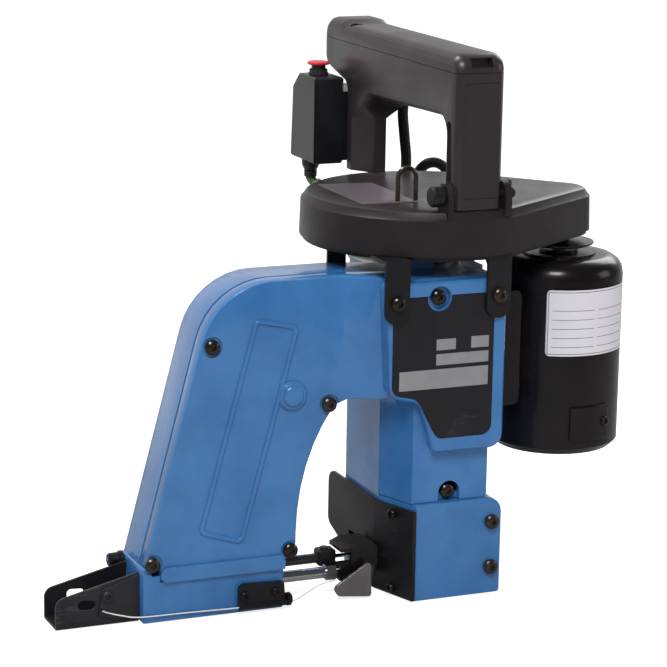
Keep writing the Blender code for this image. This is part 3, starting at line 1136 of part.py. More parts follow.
SCREWS = {
    "cover_screw_1": (-0.1250, ARM_FRONT + SEAT_DEEP, 0.1625),
    "cover_screw_2": (-0.1612, ARM_FRONT + SEAT_DEEP, 0.0356),
    "cover_screw_3": (-0.0752, ARM_FRONT + SEAT_DEEP, 0.0352),
    "cover_screw_4": (-0.0517, ARM_FRONT + SEAT_DEEP, 0.1224),
    "cover_screw_5": (0.0090, PANEL_FRONT + 0.0040, 0.1864),
    "cover_screw_6": (0.0210, COLUMN_FRONT + 0.0040, 0.0655),
    "lower_screw_1": (0.0482, 0.0, 0.0453),
    "lower_screw_2": (0.0481, 0.0, 0.0170),
    "strap_screw_left": (-0.0192, PANEL_FRONT - GAP - STRAP_THICK, 0.1854),
    "strap_screw_right": (0.0460, PANEL_FRONT - GAP - STRAP_THICK, 0.1863),
}


# ---------------------------------------------------------------- assembly
def clear_scene():
    for obj in list(bpy.data.objects):
        bpy.data.objects.remove(obj, do_unlink=True)


def build():
    clear_scene()
    LOOKS.update({
        "blue": material("blue_enamel", (0.045, 0.155, 0.420), 0.35),
        "black_plate": material("black_plate", (0.012, 0.012, 0.014), 0.30),
        "black_metal": material("black_oxide", (0.022, 0.021, 0.022), 0.38, 0.6),
        "black_paint": material("black_paint", (0.012, 0.012, 0.013), 0.28),
        "black_plastic": material("black_plastic", (0.030, 0.028, 0.029), 0.50),
        "grey_plastic": material("grey_plastic", (0.075, 0.070, 0.072), 0.55),
        "red_plastic": material("red_plastic", (0.550, 0.010, 0.020), 0.35),
        "rubber": material("rubber", (0.015, 0.015, 0.015), 0.70),
        "green_lead": material("green_lead", (0.045, 0.110, 0.020), 0.45),
        "thread": material("thread", (0.850, 0.850, 0.830), 0.80),
        "steel": material("steel", (0.550, 0.550, 0.560), 0.35, 1.0),
        "dark_steel": material("dark_steel", (0.120, 0.120, 0.125), 0.35, 1.0),
        "bright_steel": material("bright_steel", (0.620, 0.600, 0.600), 0.38, 0.8),
        "chrome": material("chrome", (0.750, 0.750, 0.760), 0.12, 1.0),
        "bronze": material("bronze_oxide", (0.060, 0.045, 0.038), 0.30, 0.8),
        "aluminium": material("aluminium", (0.500, 0.500, 0.510), 0.40, 1.0),
        "copper": material("copper", (0.450, 0.190, 0.080), 0.40, 1.0),
        "cast_iron": material("cast_iron", (0.130, 0.130, 0.135), 0.60, 0.7),
    })
    pieces = [
        main_frame(), front_cover(), lower_cover(), nameplate(), throat_plate(), bag_guide(),
        bearing_flange(), ball_bearing("upper_bearing", COLUMN_TOP - 0.0040),
        ball_bearing("lower_bearing", WALL + GAP), main_shaft(), drive_pulley(),
        eccentric("needle_eccentric", ROD_Z - 0.0035, 0.007, ROD_THROW, ECCENTRIC_R),
        eccentric("feed_eccentric", 0.0300, 0.007, 0.002, 0.0080), connecting_rod(), needle_lever(),
        lever_pivot(), needle_bar(), needle_clamp(), needle(), presser_bar(), presser_spring(),
        presser_foot(), foot_guard(), looper(), feed_dog(), motor(), motor_hatch(),
        motor_bracket(), motor_stator(), motor_rotor(), motor_pulley(), motor_fan(), drive_belt(), belt_cover(),
        cover_bracket(), handle_body(), handle_top(), handle_pin(), pin_clip(), switch_box(),
        button_bush(), start_button(), thread_loop(), thread_bracket(), tension_knob(),
        wire("thread", smooth_route(THREAD, 0.006), 0.0005, "thread", 1),
        lead("switch_lead", SWITCH_LEAD, 0.0030, "green_lead"),
        lead("handle_lead", HANDLE_LEAD, 0.0034, "rubber"),
        lead("motor_lead", MOTOR_LEAD, 0.0034, "rubber"),
    ]
    pieces += [socket_screw(name, *place) for name, place in SCREWS.items()]
    place = bpy.data.objects.new("foot_of_main_shaft", None)
    place.location = (-SHAFT_X, -SHAFT_Y, 0.0)
    bpy.context.scene.collection.objects.link(place)
    for piece in pieces:
        shade(piece)
        piece.parent = place


LOOKS = {}
build()
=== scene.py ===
"""Looks of the bag closer: its enamel, moulded, painted and plated surfaces, and the small trim.

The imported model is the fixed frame. Each operator below dresses one piece or one group of like
pieces, and the stage operator sets the floor, the lamps and the camera.
"""

import json
import math

import bmesh
import bpy
import numpy as np
from mathutils import Matrix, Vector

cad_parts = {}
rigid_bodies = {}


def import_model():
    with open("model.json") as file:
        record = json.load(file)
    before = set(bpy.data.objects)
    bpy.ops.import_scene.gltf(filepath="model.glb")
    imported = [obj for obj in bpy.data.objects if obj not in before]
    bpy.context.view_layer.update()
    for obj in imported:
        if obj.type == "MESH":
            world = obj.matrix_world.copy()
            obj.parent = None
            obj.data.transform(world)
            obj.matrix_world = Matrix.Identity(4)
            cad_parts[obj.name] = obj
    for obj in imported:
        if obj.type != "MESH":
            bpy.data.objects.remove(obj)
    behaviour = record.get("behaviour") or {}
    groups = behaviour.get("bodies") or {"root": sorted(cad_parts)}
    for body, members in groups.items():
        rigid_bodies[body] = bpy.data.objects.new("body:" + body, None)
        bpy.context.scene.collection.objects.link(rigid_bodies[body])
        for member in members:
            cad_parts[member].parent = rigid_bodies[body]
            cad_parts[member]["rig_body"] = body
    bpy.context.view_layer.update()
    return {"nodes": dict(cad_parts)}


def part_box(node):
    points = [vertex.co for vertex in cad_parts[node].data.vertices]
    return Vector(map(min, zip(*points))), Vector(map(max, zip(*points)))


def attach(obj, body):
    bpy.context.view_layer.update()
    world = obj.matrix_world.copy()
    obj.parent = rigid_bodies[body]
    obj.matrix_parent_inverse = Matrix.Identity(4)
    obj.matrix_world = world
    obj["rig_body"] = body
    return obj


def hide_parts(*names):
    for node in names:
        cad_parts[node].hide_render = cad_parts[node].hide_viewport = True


bl_info = {
    "name": "Bag closer looks",
    "version": (1, 0, 0),
    "blender": (4, 5, 0),
    "location": "3D View > Sidebar > Bag closer",
    "description": "Dresses the packed bag closer sewing machine and lights it",
    "category": "Object",
}

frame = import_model()
# Trim is drawn from the front bottom left corner of the looper housing, as the solids are.
CORNER = np.array([-0.029, -0.063, 0.0])


# ---------------------------------------------------------------- settings
def size(name, text, default):
    """A length that the panel shows, in metres."""
    return bpy.props.FloatProperty(name=name, description=text, default=default, min=0.0,
                                   precision=5, unit="LENGTH")


def colour(name, text, default):
    """A linear colour that the panel shows."""
    return bpy.props.FloatVectorProperty(name=name, description=text, default=default, size=3,
                                         min=0.0, max=1.0, subtype="COLOR")


class BagCloserSizes(bpy.types.PropertyGroup):
    """Sizes of the trim that the solids leave out."""

    casting_edge: size("Casting edge", "Rounding of the castings' open edges", 0.0007)
    sheet_edge: size("Sheet edge", "Rounding of the sheet metal's edges", 0.00025)
    plastic_edge: size("Plastic edge", "Rounding of the moulded parts' edges", 0.0005)
    bead: size("Bead", "Half width of the raised frame on the needle leg", 0.0016)
    badge_proud: size("Badge", "How far the bare badges stand out", 0.00012)
    small_screw: size("Small screw", "Head radius of the M3 screws", 0.0030)
    cap_tall: size("Button cap", "Height of the start button's red cap", 0.0023)


class BagCloserColours(bpy.types.PropertyGroup):
    """Colours of the finishes, linear."""

    enamel: colour("Enamel", "Blue enamel of the castings", (0.0430, 0.1700, 0.4100))
    enamel_deep: colour("Enamel, deep", "Enamel where it has pooled", (0.0310, 0.1390, 0.3570))
    cover: colour("Belt cover", "Moulded belt cover", (0.0150, 0.0118, 0.0124))
    handle: colour("Handle", "Moulded handle", (0.0225, 0.0175, 0.0195))
    gloss_black: colour("Gloss black", "Painted motor", (0.0060, 0.0045, 0.0052))
    oxide: colour("Oxide", "Blackened sheet steel", (0.016, 0.015, 0.017))
    badge: colour("Badge", "Bare aluminium badges", (0.420, 0.410, 0.430))
    label: colour("Label", "Paper of the bare motor label", (0.700, 0.680, 0.730))
    button: colour("Button", "Start button", (0.420, 0.010, 0.018))
    green: colour("Green lead", "Jacket of the switch lead", (0.060, 0.140, 0.020))


# ---------------------------------------------------------------- surfaces
def solid(name, points, faces):
    """A mesh object from points and quads or triangles, with its faces turned outwards."""
    mesh = bpy.data.meshes.new(name)
    mesh.from_pydata(points.tolist(), [], faces.tolist())
    bm = bmesh.new()
    bm.from_mesh(mesh)
    bmesh.ops.remove_doubles(bm, verts=bm.verts, dist=1e-6)
    bmesh.ops.dissolve_degenerate(bm, edges=bm.edges, dist=1e-7)
    bmesh.ops.recalc_face_normals(bm, faces=bm.faces)
    bm.to_mesh(mesh)
    bm.free()
    obj = bpy.data.objects.new(name, mesh)
    bpy.context.scene.collection.objects.link(obj)
    return obj


def sheet_of(name, grid, wrap=(False, False)):
    """Quads over a grid of points (rows, columns, 3); wrap joins the last row or column to the first."""
    rows, columns = grid.shape[:2]
    row = np.arange(rows if wrap[0] else rows - 1)[:, None]
    column = np.arange(columns if wrap[1] else columns - 1)[None, :]
    below, beside = (row + 1) % rows, (column + 1) % columns
    faces = np.stack([row * columns + column, row * columns + beside,
                      below * columns + beside, below * columns + column], axis=-1)
    return solid(name, grid.reshape(-1, 3), faces.reshape(-1, 4))


def hexagon(angles, flat):
    """Distance from the centre to a hexagon's side, for each angle: flat over the cosine of the
    angle to the nearest side's middle."""
    return flat / np.cos((angles + math.pi / 6) % (math.pi / 3) - math.pi / 6)


def facing(axis):
    """Matrix whose third column is the axis and whose others span the plane across it."""
    axis = np.array(axis, float) / np.linalg.norm(axis)
    side = np.cross(axis, [0.0, 0.0, 1.0] if abs(axis[2]) < 0.9 else [0.0, 1.0, 0.0])
    side /= np.linalg.norm(side)
    return np.stack([side, np.cross(axis, side), axis], axis=1)


def turned(name, profile, centre, axis, sides=48, hexes=None):
    """A profile of (radius, height) turned about the axis through centre: each row is a circle of
    its radius at its height, drawn towards a hexagon of the same size by the row's share in hexes."""
    profile = np.array(profile, float)
    angle = np.linspace(0, 2 * math.pi, sides, endpoint=False)
    radius = np.repeat(profile[:, :1], sides, axis=1)
    if hexes is not None:
        share = np.array(hexes, float)[:, None]
        radius = radius * (1 - share) + hexagon(angle, 1.0)[None, :] * profile[:, :1] * share
    local = np.stack([radius * np.cos(angle), radius * np.sin(angle),
                      np.repeat(profile[:, 1:], sides, axis=1)], axis=-1)
    return sheet_of(name, local @ facing(axis).T + np.array(centre) + CORNER, (False, True))


def tube(name, path, radius, sides=12, closed=False, squash=1.0):
    """A round section carried along the path: at each point a circle stands across the path's
    tangent, with its upright turned to the world's, and its ends are drawn to a point."""
    path = np.array(path, float)
    ahead = np.roll(path, -1, axis=0) - np.roll(path, 1, axis=0)
    if not closed:
        ahead[0], ahead[-1] = path[1] - path[0], path[-1] - path[-2]
    tangent = ahead / np.linalg.norm(ahead, axis=1)[:, None]
    guide = np.array([0.0, 1.0, 0.0]) if abs(tangent[:, 1]).max() < 0.9 else np.array([0.31, 0.2, 0.93])
    across = np.cross(tangent, guide)
    across /= np.linalg.norm(across, axis=1)[:, None]
    up = np.cross(across, tangent)
    angle = np.linspace(0, 2 * math.pi, sides, endpoint=False)[None, :, None]
    radii = np.broadcast_to(np.array(radius, float).reshape(-1, 1, 1), (len(path), 1, 1))
    grid = path[:, None] + radii * (np.cos(angle) * across[:, None] + np.sin(angle) * up[:, None] * squash)
    if not closed:
        grid = np.concatenate([np.repeat(path[:1, None], sides, axis=1), grid,
                               np.repeat(path[-1:, None], sides, axis=1)])
    return sheet_of(name, grid + CORNER, (closed, True))


def rounded(corners, radius, count=7):
    """A closed outline through the corners, each replaced by an arc of the radius: the arc's
    centre stands on the corner's bisector and its ends touch both sides."""
    corners = np.array(corners, float)
    outline = []
    for n, here in enumerate(corners):
        back, ahead = corners[n - 1] - here, corners[(n + 1) % len(corners)] - here
        back, ahead = back / np.linalg.norm(back), ahead / np.linalg.norm(ahead)
        half = math.acos(float(np.clip(back @ ahead, -1, 1))) / 2
        bisector = (back + ahead) / np.linalg.norm(back + ahead)
        centre = here + bisector * radius / math.sin(half)
        start = here + back * radius / math.tan(half) - centre
        end = here + ahead * radius / math.tan(half) - centre
        t = np.linspace(0, 1, count)[:, None]
        turn = math.pi - 2 * half
        outline.append(centre + (start * np.sin((1 - t) * turn) + end * np.sin(t * turn)) / math.sin(turn))
    return np.concatenate(outline)


def badge(name, outline, place, proud, edge=0.0002):
    """A thin plate over a flat outline: rings of the outline rise by proud, then close on their
    middle. place carries (u, v, height) to a point of the surface it sits on."""
    middle = outline.mean(axis=0)
    reach = np.abs(outline - middle).max()
    rings = [(1.0, -0.0002), (1.0, proud - edge / 2), (1 - edge / reach, proud)]
    rings += [(share, proud) for share in (0.75, 0.5, 0.25, 0.0)]
    grid = np.array([place(*(middle + (outline - middle) * share).T, np.full(len(outline), height))
                     for share, height in rings])
    return sheet_of(name, grid + CORNER, (False, True))


def screw(name, centre, axis, radius=0.0030, tall=0.0018, socket=0.45):
    """Button head: a dome of the radius and height with a hexagon socket sunk in its top, whose
    rows pass from a circle to a hexagon."""
    flat = radius * socket
    steps = np.linspace(0, 1, 6)
    dome = [(radius * (1 - 0.42 * t * t), tall * (0.25 + 0.75 * math.sin(t * math.pi / 2))) for t in steps]
    profile = [(0, -0.0002), (radius, -0.0002), (radius, tall * 0.2)] + dome
    profile += [(flat * 1.06, tall), (flat, tall - 0.0001), (flat, tall * 0.3), (0, tall * 0.25)]
    hexes = [0] * (3 + len(dome)) + [1, 1, 1, 0]
    return turned(name, profile, centre, axis, 36, hexes)


def merged(node):
    """The CAD node's triangles as points and faces with equal points made one."""
    mesh = frame["nodes"][node].data
    points = np.empty(len(mesh.vertices) * 3, np.float32)
    mesh.vertices.foreach_get("co", points)
    mesh.calc_loop_triangles()
    faces = np.empty(len(mesh.loop_triangles) * 3, np.int32)
    mesh.loop_triangles.foreach_get("vertices", faces)
    points = points.reshape(-1, 3).astype(float)
    _, first, index = np.unique(np.round(points / 2e-6).astype(np.int64), axis=0,
                                return_index=True, return_inverse=True)
    faces = index.reshape(-1)[faces].reshape(-1, 3)
    whole = (faces[:, 0] != faces[:, 1]) & (faces[:, 1] != faces[:, 2]) & (faces[:, 0] != faces[:, 2])
    return points[first], faces[whole]


def dressed(node, finish, edge=0.0, angle=32):
    """A copy of a CAD node with its flat faces made whole, its open edges rounded by edge and its
    curved faces shaded smooth. It stands for the node and rides where the node rides."""
    points, faces = merged(node)
    mesh = bpy.data.meshes.new(node + "_look")
    mesh.from_pydata(points.tolist(), [], faces.tolist())
    bm = bmesh.new()
    bm.from_mesh(mesh)
    bmesh.ops.dissolve_limit(bm, angle_limit=math.radians(0.6), verts=bm.verts, edges=bm.edges)
    bm.to_mesh(mesh)
    bm.free()
    mesh.shade_smooth()
    mesh.set_sharp_from_angle(angle=math.radians(angle))
    obj = bpy.data.objects.new(node + "_look", mesh)
    bpy.context.scene.collection.objects.link(obj)
    if edge:
        bevel = obj.modifiers.new("Edge", "BEVEL")
        bevel.width = edge
        bevel.segments = 2
        bevel.limit_method = "ANGLE"
        bevel.angle_limit = math.radians(angle)
        bevel.use_clamp_overlap = True
        bevel.harden_normals = True
    obj.data.materials.append(bpy.data.materials[finish])
    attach(obj, frame["nodes"][node]["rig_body"])
    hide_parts(node)
    return obj


def trim(obj, body, finish, smooth=40):
    """Gives a new piece its finish and the body that it rides on."""
    obj.data.shade_smooth()
    obj.data.set_sharp_from_angle(angle=math.radians(smooth))
    obj.data.materials.append(bpy.data.materials[finish])
    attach(obj, body)
    return obj


# ---------------------------------------------------------------- finishes
class Nodes:
    """Short way to fill a node tree: add() makes a node, sets its options and feeds its inputs."""

    def __init__(self, tree):
        self.tree = tree

    def add(self, kind, options=None, **inputs):
        made = self.tree.nodes.new("ShaderNode" + kind)
        for key, value in (options or {}).items():
            setattr(made, key, value)
        for key, value in inputs.items():
            socket = made.inputs[int(key[1:]) if key[0] == "_" else key.replace("_", " ")]
            if isinstance(value, bpy.types.NodeSocket):
                self.tree.links.new(value, socket)
            else:
                socket.default_value = value
        return made


def effect(name, inputs, outputs):
    """An empty shader node group with float inputs, a vector input Place and float outputs."""
    group = bpy.data.node_groups.new(name, "ShaderNodeTree")
    group.interface.new_socket("Place", in_out="INPUT", socket_type="NodeSocketVector")
    for key, value in inputs.items():
        socket = group.interface.new_socket(key, in_out="INPUT", socket_type="NodeSocketFloat")
        socket.default_value = value
    for key in outputs:
        group.interface.new_socket(key, in_out="OUTPUT", socket_type="NodeSocketFloat")
    return Nodes(group), (group.nodes.new("NodeGroupInput"), group.nodes.new("NodeGroupOutput"))


def build_effects():
    """Shader groups that several finishes share."""
    # Orange peel of thick enamel: broad soft lumps with finer ones on them.
    nodes, (start, end) = effect("orange_peel", {"Scale": 420.0}, ("Height", "Pool"))
    broad = nodes.add("TexNoise", Vector=start.outputs["Place"], Scale=start.outputs["Scale"], Detail=2.0,
                      Roughness=0.45)
    lumps = nodes.add("TexVoronoi", {"feature": "SMOOTH_F1"}, Vector=start.outputs["Place"],
                      Scale=start.outputs["Scale"], Smoothness=0.9)
    height = nodes.add("Math", {"operation": "MULTIPLY_ADD"}, _0=lumps.outputs["Distance"], _1=-0.55,
                       _2=broad.outputs["Fac"])
    slow = nodes.add("TexNoise", Vector=start.outputs["Place"], Scale=34.0, Detail=3.0)
    pool = nodes.add("MapRange", Value=slow.outputs["Fac"], From_Min=0.38, From_Max=0.66)
    nodes.tree.links.new(height.outputs[0], end.inputs["Height"])
    nodes.tree.links.new(pool.outputs[0], end.inputs["Pool"])

    # Spark-eroded mould texture: dense fine pits, with slow mottling where hands have polished it.
    nodes, (start, end) = effect("mould_grain", {"Scale": 2200.0}, ("Height", "Polish"))
    pits = nodes.add("TexNoise", Vector=start.outputs["Place"], Scale=start.outputs["Scale"], Detail=2.0,
                     Roughness=0.6)
    slow = nodes.add("TexNoise", Vector=start.outputs["Place"], Scale=22.0, Detail=4.0, Roughness=0.6)
    polish = nodes.add("MapRange", Value=slow.outputs["Fac"], From_Min=0.40, From_Max=0.68)
    nodes.tree.links.new(pits.outputs["Fac"], end.inputs["Height"])
    nodes.tree.links.new(polish.outputs[0], end.inputs["Polish"])

    # Scuffs: thin streaks across the surface where a slow cloud lets them through.
    nodes, (start, end) = effect("scuffs", {"Scale": 60.0, "Amount": 0.5}, ("Mask", "Height"))
    drawn = nodes.add("Mapping", Vector=start.outputs["Place"], Scale=(1.0, 1.0, 9.0),
                      Rotation=(0.5, 0.3, 0.0))
    streak = nodes.add("TexNoise", Vector=drawn.outputs[0], Scale=start.outputs["Scale"], Detail=6.0,
                       Roughness=0.75)
    cloud = nodes.add("TexNoise", Vector=start.outputs["Place"], Scale=38.0, Detail=3.0)
    both = nodes.add("Math", {"operation": "MULTIPLY"}, _0=streak.outputs["Fac"], _1=cloud.outputs["Fac"])
    level = nodes.add("Math", {"operation": "MULTIPLY_ADD"}, _0=start.outputs["Amount"], _1=-0.16, _2=0.42)
    mask = nodes.add("MapRange", Value=both.outputs[0], From_Min=level.outputs[0], From_Max=0.46)
    nodes.tree.links.new(mask.outputs[0], end.inputs["Mask"])
    nodes.tree.links.new(streak.outputs["Fac"], end.inputs["Height"])

    # Turned or drawn metal: very fine lines round or along one axis.
    nodes, (start, end) = effect("tool_lines", {"Fineness": 3000.0}, ("Height", "Shade"))
    drawn = nodes.add("Mapping", Vector=start.outputs["Place"], Scale=(1.0, 0.04, 0.04))
    lines = nodes.add("TexNoise", Vector=drawn.outputs[0], Scale=start.outputs["Fineness"], Detail=2.0)
    slow = nodes.add("TexNoise", Vector=start.outputs["Place"], Scale=90.0, Detail=3.0)
    nodes.tree.links.new(lines.outputs["Fac"], end.inputs["Height"])
    nodes.tree.links.new(slow.outputs["Fac"], end.inputs["Shade"])


def finish(name, base, second, roughness, metallic=0.0, use="mould_grain", scale=None, depth=0.00002,
           strength=0.25, coat=0.0, worn=None, amount=0.5, gloss=0.5):
    """A Principled material: the mask of the shared group in use mixes two colours and two
    roughnesses, its height feeds a Bump, and worn lays scuffs of a third colour over them. gloss is
    the specular level, and coat the weight of a thin clear coat."""
    made = bpy.data.materials.new(name)
    made.use_nodes = True
    nodes = Nodes(made.node_tree)
    shader = made.node_tree.nodes["Principled BSDF"]
    place = nodes.add("TexCoord").outputs["Object"]
    group = nodes.add("Group", {"node_tree": bpy.data.node_groups[use]}, Place=place)
    if scale:
        group.inputs[1].default_value = scale
    mask = group.outputs[1] if use != "scuffs" else group.outputs["Mask"]
    mixed = nodes.add("Mix", {"data_type": "RGBA"}, Factor=mask)
    mixed.inputs[6].default_value, mixed.inputs[7].default_value = (*base, 1), (*second, 1)
    tint = mixed.outputs[2]
    rough = nodes.add("MapRange", Value=mask, To_Min=roughness[0], To_Max=roughness[1]).outputs[0]
    if worn:
        scuffs = nodes.add("Group", {"node_tree": bpy.data.node_groups["scuffs"]}, Place=place,
                           Amount=amount)
        rubbed = nodes.add("Mix", {"data_type": "RGBA"}, Factor=scuffs.outputs["Mask"])
        nodes.tree.links.new(tint, rubbed.inputs[6])
        rubbed.inputs[7].default_value = (*worn, 1)
        tint = rubbed.outputs[2]
    bump = nodes.add("Bump", Height=group.outputs["Height"], Distance=depth, Strength=strength)
    nodes.tree.links.new(tint, shader.inputs["Base Color"])
    nodes.tree.links.new(rough, shader.inputs["Roughness"])
    nodes.tree.links.new(bump.outputs[0], shader.inputs["Normal"])
    shader.inputs["Metallic"].default_value = metallic
    shader.inputs["Specular IOR Level"].default_value = gloss
    if coat:
        shader.inputs["Coat Weight"].default_value = coat
        shader.inputs["Coat Roughness"].default_value = 0.08
    made.diffuse_color = (*base, 1)
    return made


def below(made, level, colour):
    """Gives a finish a second colour under a level of the piece, as where a cap sits on its stem."""
    nodes = Nodes(made.node_tree)
    shader = made.node_tree.nodes["Principled BSDF"]
    tint = shader.inputs["Base Color"].links[0].from_socket
    split = nodes.add("SeparateXYZ", Vector=nodes.add("TexCoord").outputs["Object"])
    under = nodes.add("Math", {"operation": "LESS_THAN"}, _0=split.outputs["Z"], _1=level)
    mixed = nodes.add("Mix", {"data_type": "RGBA"}, Factor=under.outputs[0])
    nodes.tree.links.new(tint, mixed.inputs[6])
    mixed.inputs[7].default_value = (*colour, 1)
    nodes.tree.links.new(mixed.outputs[2], shader.inputs["Base Color"])


def label_paper(name, paper):
    """Bare satin label from its UV map, in millimetres from its edges: a dark line inside its edge,
    and two columns of fine rules with nothing on them."""
    made = bpy.data.materials.new(name)
    made.use_nodes = True
    nodes = Nodes(made.node_tree)
    shader = made.node_tree.nodes["Principled BSDF"]
    split = nodes.add("SeparateXYZ", Vector=nodes.add("UVMap").outputs[0])

    def nearer(first, second):
        return nodes.add("Math", {"operation": "MINIMUM"}, _0=first, _1=second).outputs[0]

    def between(value, low, high):
        over = nodes.add("Math", {"operation": "GREATER_THAN"}, _0=value, _1=low)
        under = nodes.add("Math", {"operation": "LESS_THAN"}, _0=value, _1=high)
        return nearer(over.outputs[0], under.outputs[0])

    def from_edge(socket, length):
        far = nodes.add("Math", {"operation": "SUBTRACT"}, _0=1.0, _1=split.outputs[socket])
        near = nearer(split.outputs[socket], far.outputs[0])
        return nodes.add("Math", {"operation": "MULTIPLY"}, _0=near, _1=length).outputs[0]

    wide, tall = 61.0, 41.0
    inset = nearer(from_edge("X", wide), from_edge("Y", tall))
    border = between(inset, 1.1, 1.5)
    rows = nodes.add("Math", {"operation": "PINGPONG"}, _0=split.outputs["Y"], _1=0.069)
    ruled = nearer(between(rows.outputs[0], -1.0, 0.0045), between(split.outputs["Y"], 0.10, 0.72))
    left, right = between(split.outputs["X"], 0.06, 0.50), between(split.outputs["X"], 0.54, 0.94)
    columns = nodes.add("Math", {"operation": "MAXIMUM"}, _0=left, _1=right)
    lines = nodes.add("Math", {"operation": "MAXIMUM"}, _0=nearer(ruled, columns.outputs[0]), _1=border)
    grain = nodes.add("TexNoise", Vector=nodes.add("TexCoord").outputs["Object"], Scale=60.0, Detail=4.0)
    shade = nodes.add("MapRange", Value=grain.outputs["Fac"], To_Min=0.0, To_Max=0.25)
    aged = nodes.add("Mix", {"data_type": "RGBA"}, Factor=shade.outputs[0])
    aged.inputs[6].default_value = (*paper, 1)
    aged.inputs[7].default_value = (*(0.75 * c for c in paper), 1)
    inked = nodes.add("Mix", {"data_type": "RGBA"}, Factor=lines.outputs[0])
    nodes.tree.links.new(aged.outputs[2], inked.inputs[6])
    inked.inputs[7].default_value = (0.13, 0.12, 0.14, 1)
    nodes.tree.links.new(inked.outputs[2], shader.inputs["Base Color"])
    shader.inputs["Roughness"].default_value = 0.38
    made.diffuse_color = (*paper, 1)
    return made


class Part(bpy.types.Operator):
    """Common shape of the operators: each makes its pieces once."""

    bl_options = {"REGISTER", "UNDO"}

    def execute(self, context):
        self.make(context.scene.bag_closer_sizes, context.scene.bag_closer_colours)
        return {"FINISHED"}


class BAGCLOSER_OT_finishes(Part):
    """Makes the shared shader groups and every finish"""

    bl_idname = "bag_closer.finishes"
    bl_label = "Finishes"

    def make(self, sizes, colours):
        build_effects()
        finish("blue_enamel_look", colours.enamel, colours.enamel_deep, (0.18, 0.25), use="orange_peel",
               scale=430.0, depth=0.00036, strength=0.40, coat=0.40, gloss=0.50)
        finish("cover_look", colours.cover, [1.5 * c for c in colours.cover], (0.38, 0.29), scale=1700.0,
               depth=0.00004, strength=0.40, gloss=0.30)
        finish("handle_look", colours.handle, [1.35 * c for c in colours.handle], (0.38, 0.29), scale=1500.0,
               depth=0.00006, strength=0.45, gloss=0.46)
        finish("switch_look", (0.0060, 0.0058, 0.0085), (0.0095, 0.0090, 0.0120), (0.30, 0.38),
               scale=1500.0, depth=0.00005, strength=0.30, gloss=0.52)
        finish("gloss_black_look", colours.gloss_black, [1.6 * c for c in colours.gloss_black],
               (0.22, 0.30), use="orange_peel", scale=300.0, depth=0.00012, strength=0.08, coat=0.10,
               gloss=0.26)
        finish("oxide_look", colours.oxide, [1.7 * c for c in colours.oxide], (0.34, 0.48), 0.55,
               scale=900.0, depth=0.00003, strength=0.25, worn=(0.07, 0.068, 0.07), amount=0.3)
        finish("guide_look", [1.6 * c for c in colours.oxide], [2.4 * c for c in colours.oxide],
               (0.36, 0.50), 0.6, scale=900.0, depth=0.00003, strength=0.25,
               worn=(0.10, 0.096, 0.10), amount=0.5)
        finish("plate_look", (0.008, 0.007, 0.009), (0.014, 0.012, 0.015), (0.24, 0.34), scale=700.0,
               depth=0.00002, strength=0.12, worn=(0.030, 0.028, 0.031), amount=0.25, gloss=0.36)
        finish("badge_look", colours.badge, [0.72 * c for c in colours.badge], (0.42, 0.52), 0.55,
               use="tool_lines", depth=0.00002, strength=0.15)
        finish("rating_look", (0.150, 0.130, 0.150), (0.095, 0.082, 0.095), (0.34, 0.46), 0.3,
               scale=240.0, depth=0.00002, strength=0.15, gloss=0.40)
        finish("bronze_look", (0.040, 0.032, 0.029), (0.080, 0.064, 0.056), (0.20, 0.32), 0.8,
               scale=1300.0, depth=0.00003, strength=0.2, worn=(0.11, 0.09, 0.08), amount=0.45)
        finish("steel_look", (0.46, 0.455, 0.46), (0.34, 0.335, 0.34), (0.24, 0.38), 1.0,
               use="tool_lines", depth=0.00002, strength=0.12)
        finish("guard_look", (0.20, 0.185, 0.19), (0.33, 0.31, 0.315), (0.26, 0.40), 0.75,
               scale=900.0, depth=0.00003, strength=0.25)
        finish("chrome_look", (0.62, 0.615, 0.62), (0.50, 0.50, 0.51), (0.10, 0.18), 1.0,
               use="tool_lines", depth=0.00001, strength=0.06)
        finish("dark_steel_look", (0.09, 0.088, 0.09), (0.15, 0.148, 0.15), (0.24, 0.36), 1.0,
               use="tool_lines", depth=0.00001, strength=0.10)
        finish("aluminium_look", (0.34, 0.335, 0.345), (0.44, 0.435, 0.44), (0.34, 0.48), 0.9,
               use="tool_lines", depth=0.00003, strength=0.2)
        finish("cast_iron_look", (0.07, 0.07, 0.074), (0.11, 0.11, 0.115), (0.55, 0.70), 0.6,
               scale=700.0, depth=0.0001, strength=0.4)
        finish("copper_look", (0.36, 0.13, 0.05), (0.46, 0.19, 0.08), (0.35, 0.5), 0.9,
               use="tool_lines", depth=0.00005, strength=0.3)
        finish("rubber_look", (0.012, 0.012, 0.013), (0.020, 0.019, 0.020), (0.50, 0.66), scale=1200.0,
               depth=0.00004, strength=0.3)
        finish("green_look", colours.green, [1.5 * c for c in colours.green], (0.36, 0.46),
               scale=700.0, depth=0.00003, strength=0.2)
        finish("cream_look", (0.46, 0.44, 0.30), (0.56, 0.54, 0.40), (0.45, 0.55), scale=800.0,
               depth=0.00003, strength=0.2)
        below(finish("button_look", colours.button, [1.5 * c for c in colours.button], (0.28, 0.38),
                     scale=900.0, depth=0.00002, strength=0.15),
              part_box("start_button")[1].z - sizes.cap_tall, (0.010, 0.009, 0.010))
        finish("thread_look", (0.80, 0.79, 0.77), (0.62, 0.61, 0.60), (0.80, 0.90), scale=2600.0,
               depth=0.0001, strength=0.6)
        label_paper("label_look", colours.label)


class BAGCLOSER_OT_castings(Part):
    """Dresses the three blue castings"""

    bl_idname = "bag_closer.castings"
    bl_label = "Castings"

    def make(self, sizes, colours):
        for node in ("main_frame", "front_cover", "lower_cover"):
            dressed(node, "blue_enamel_look", sizes.casting_edge, 28)


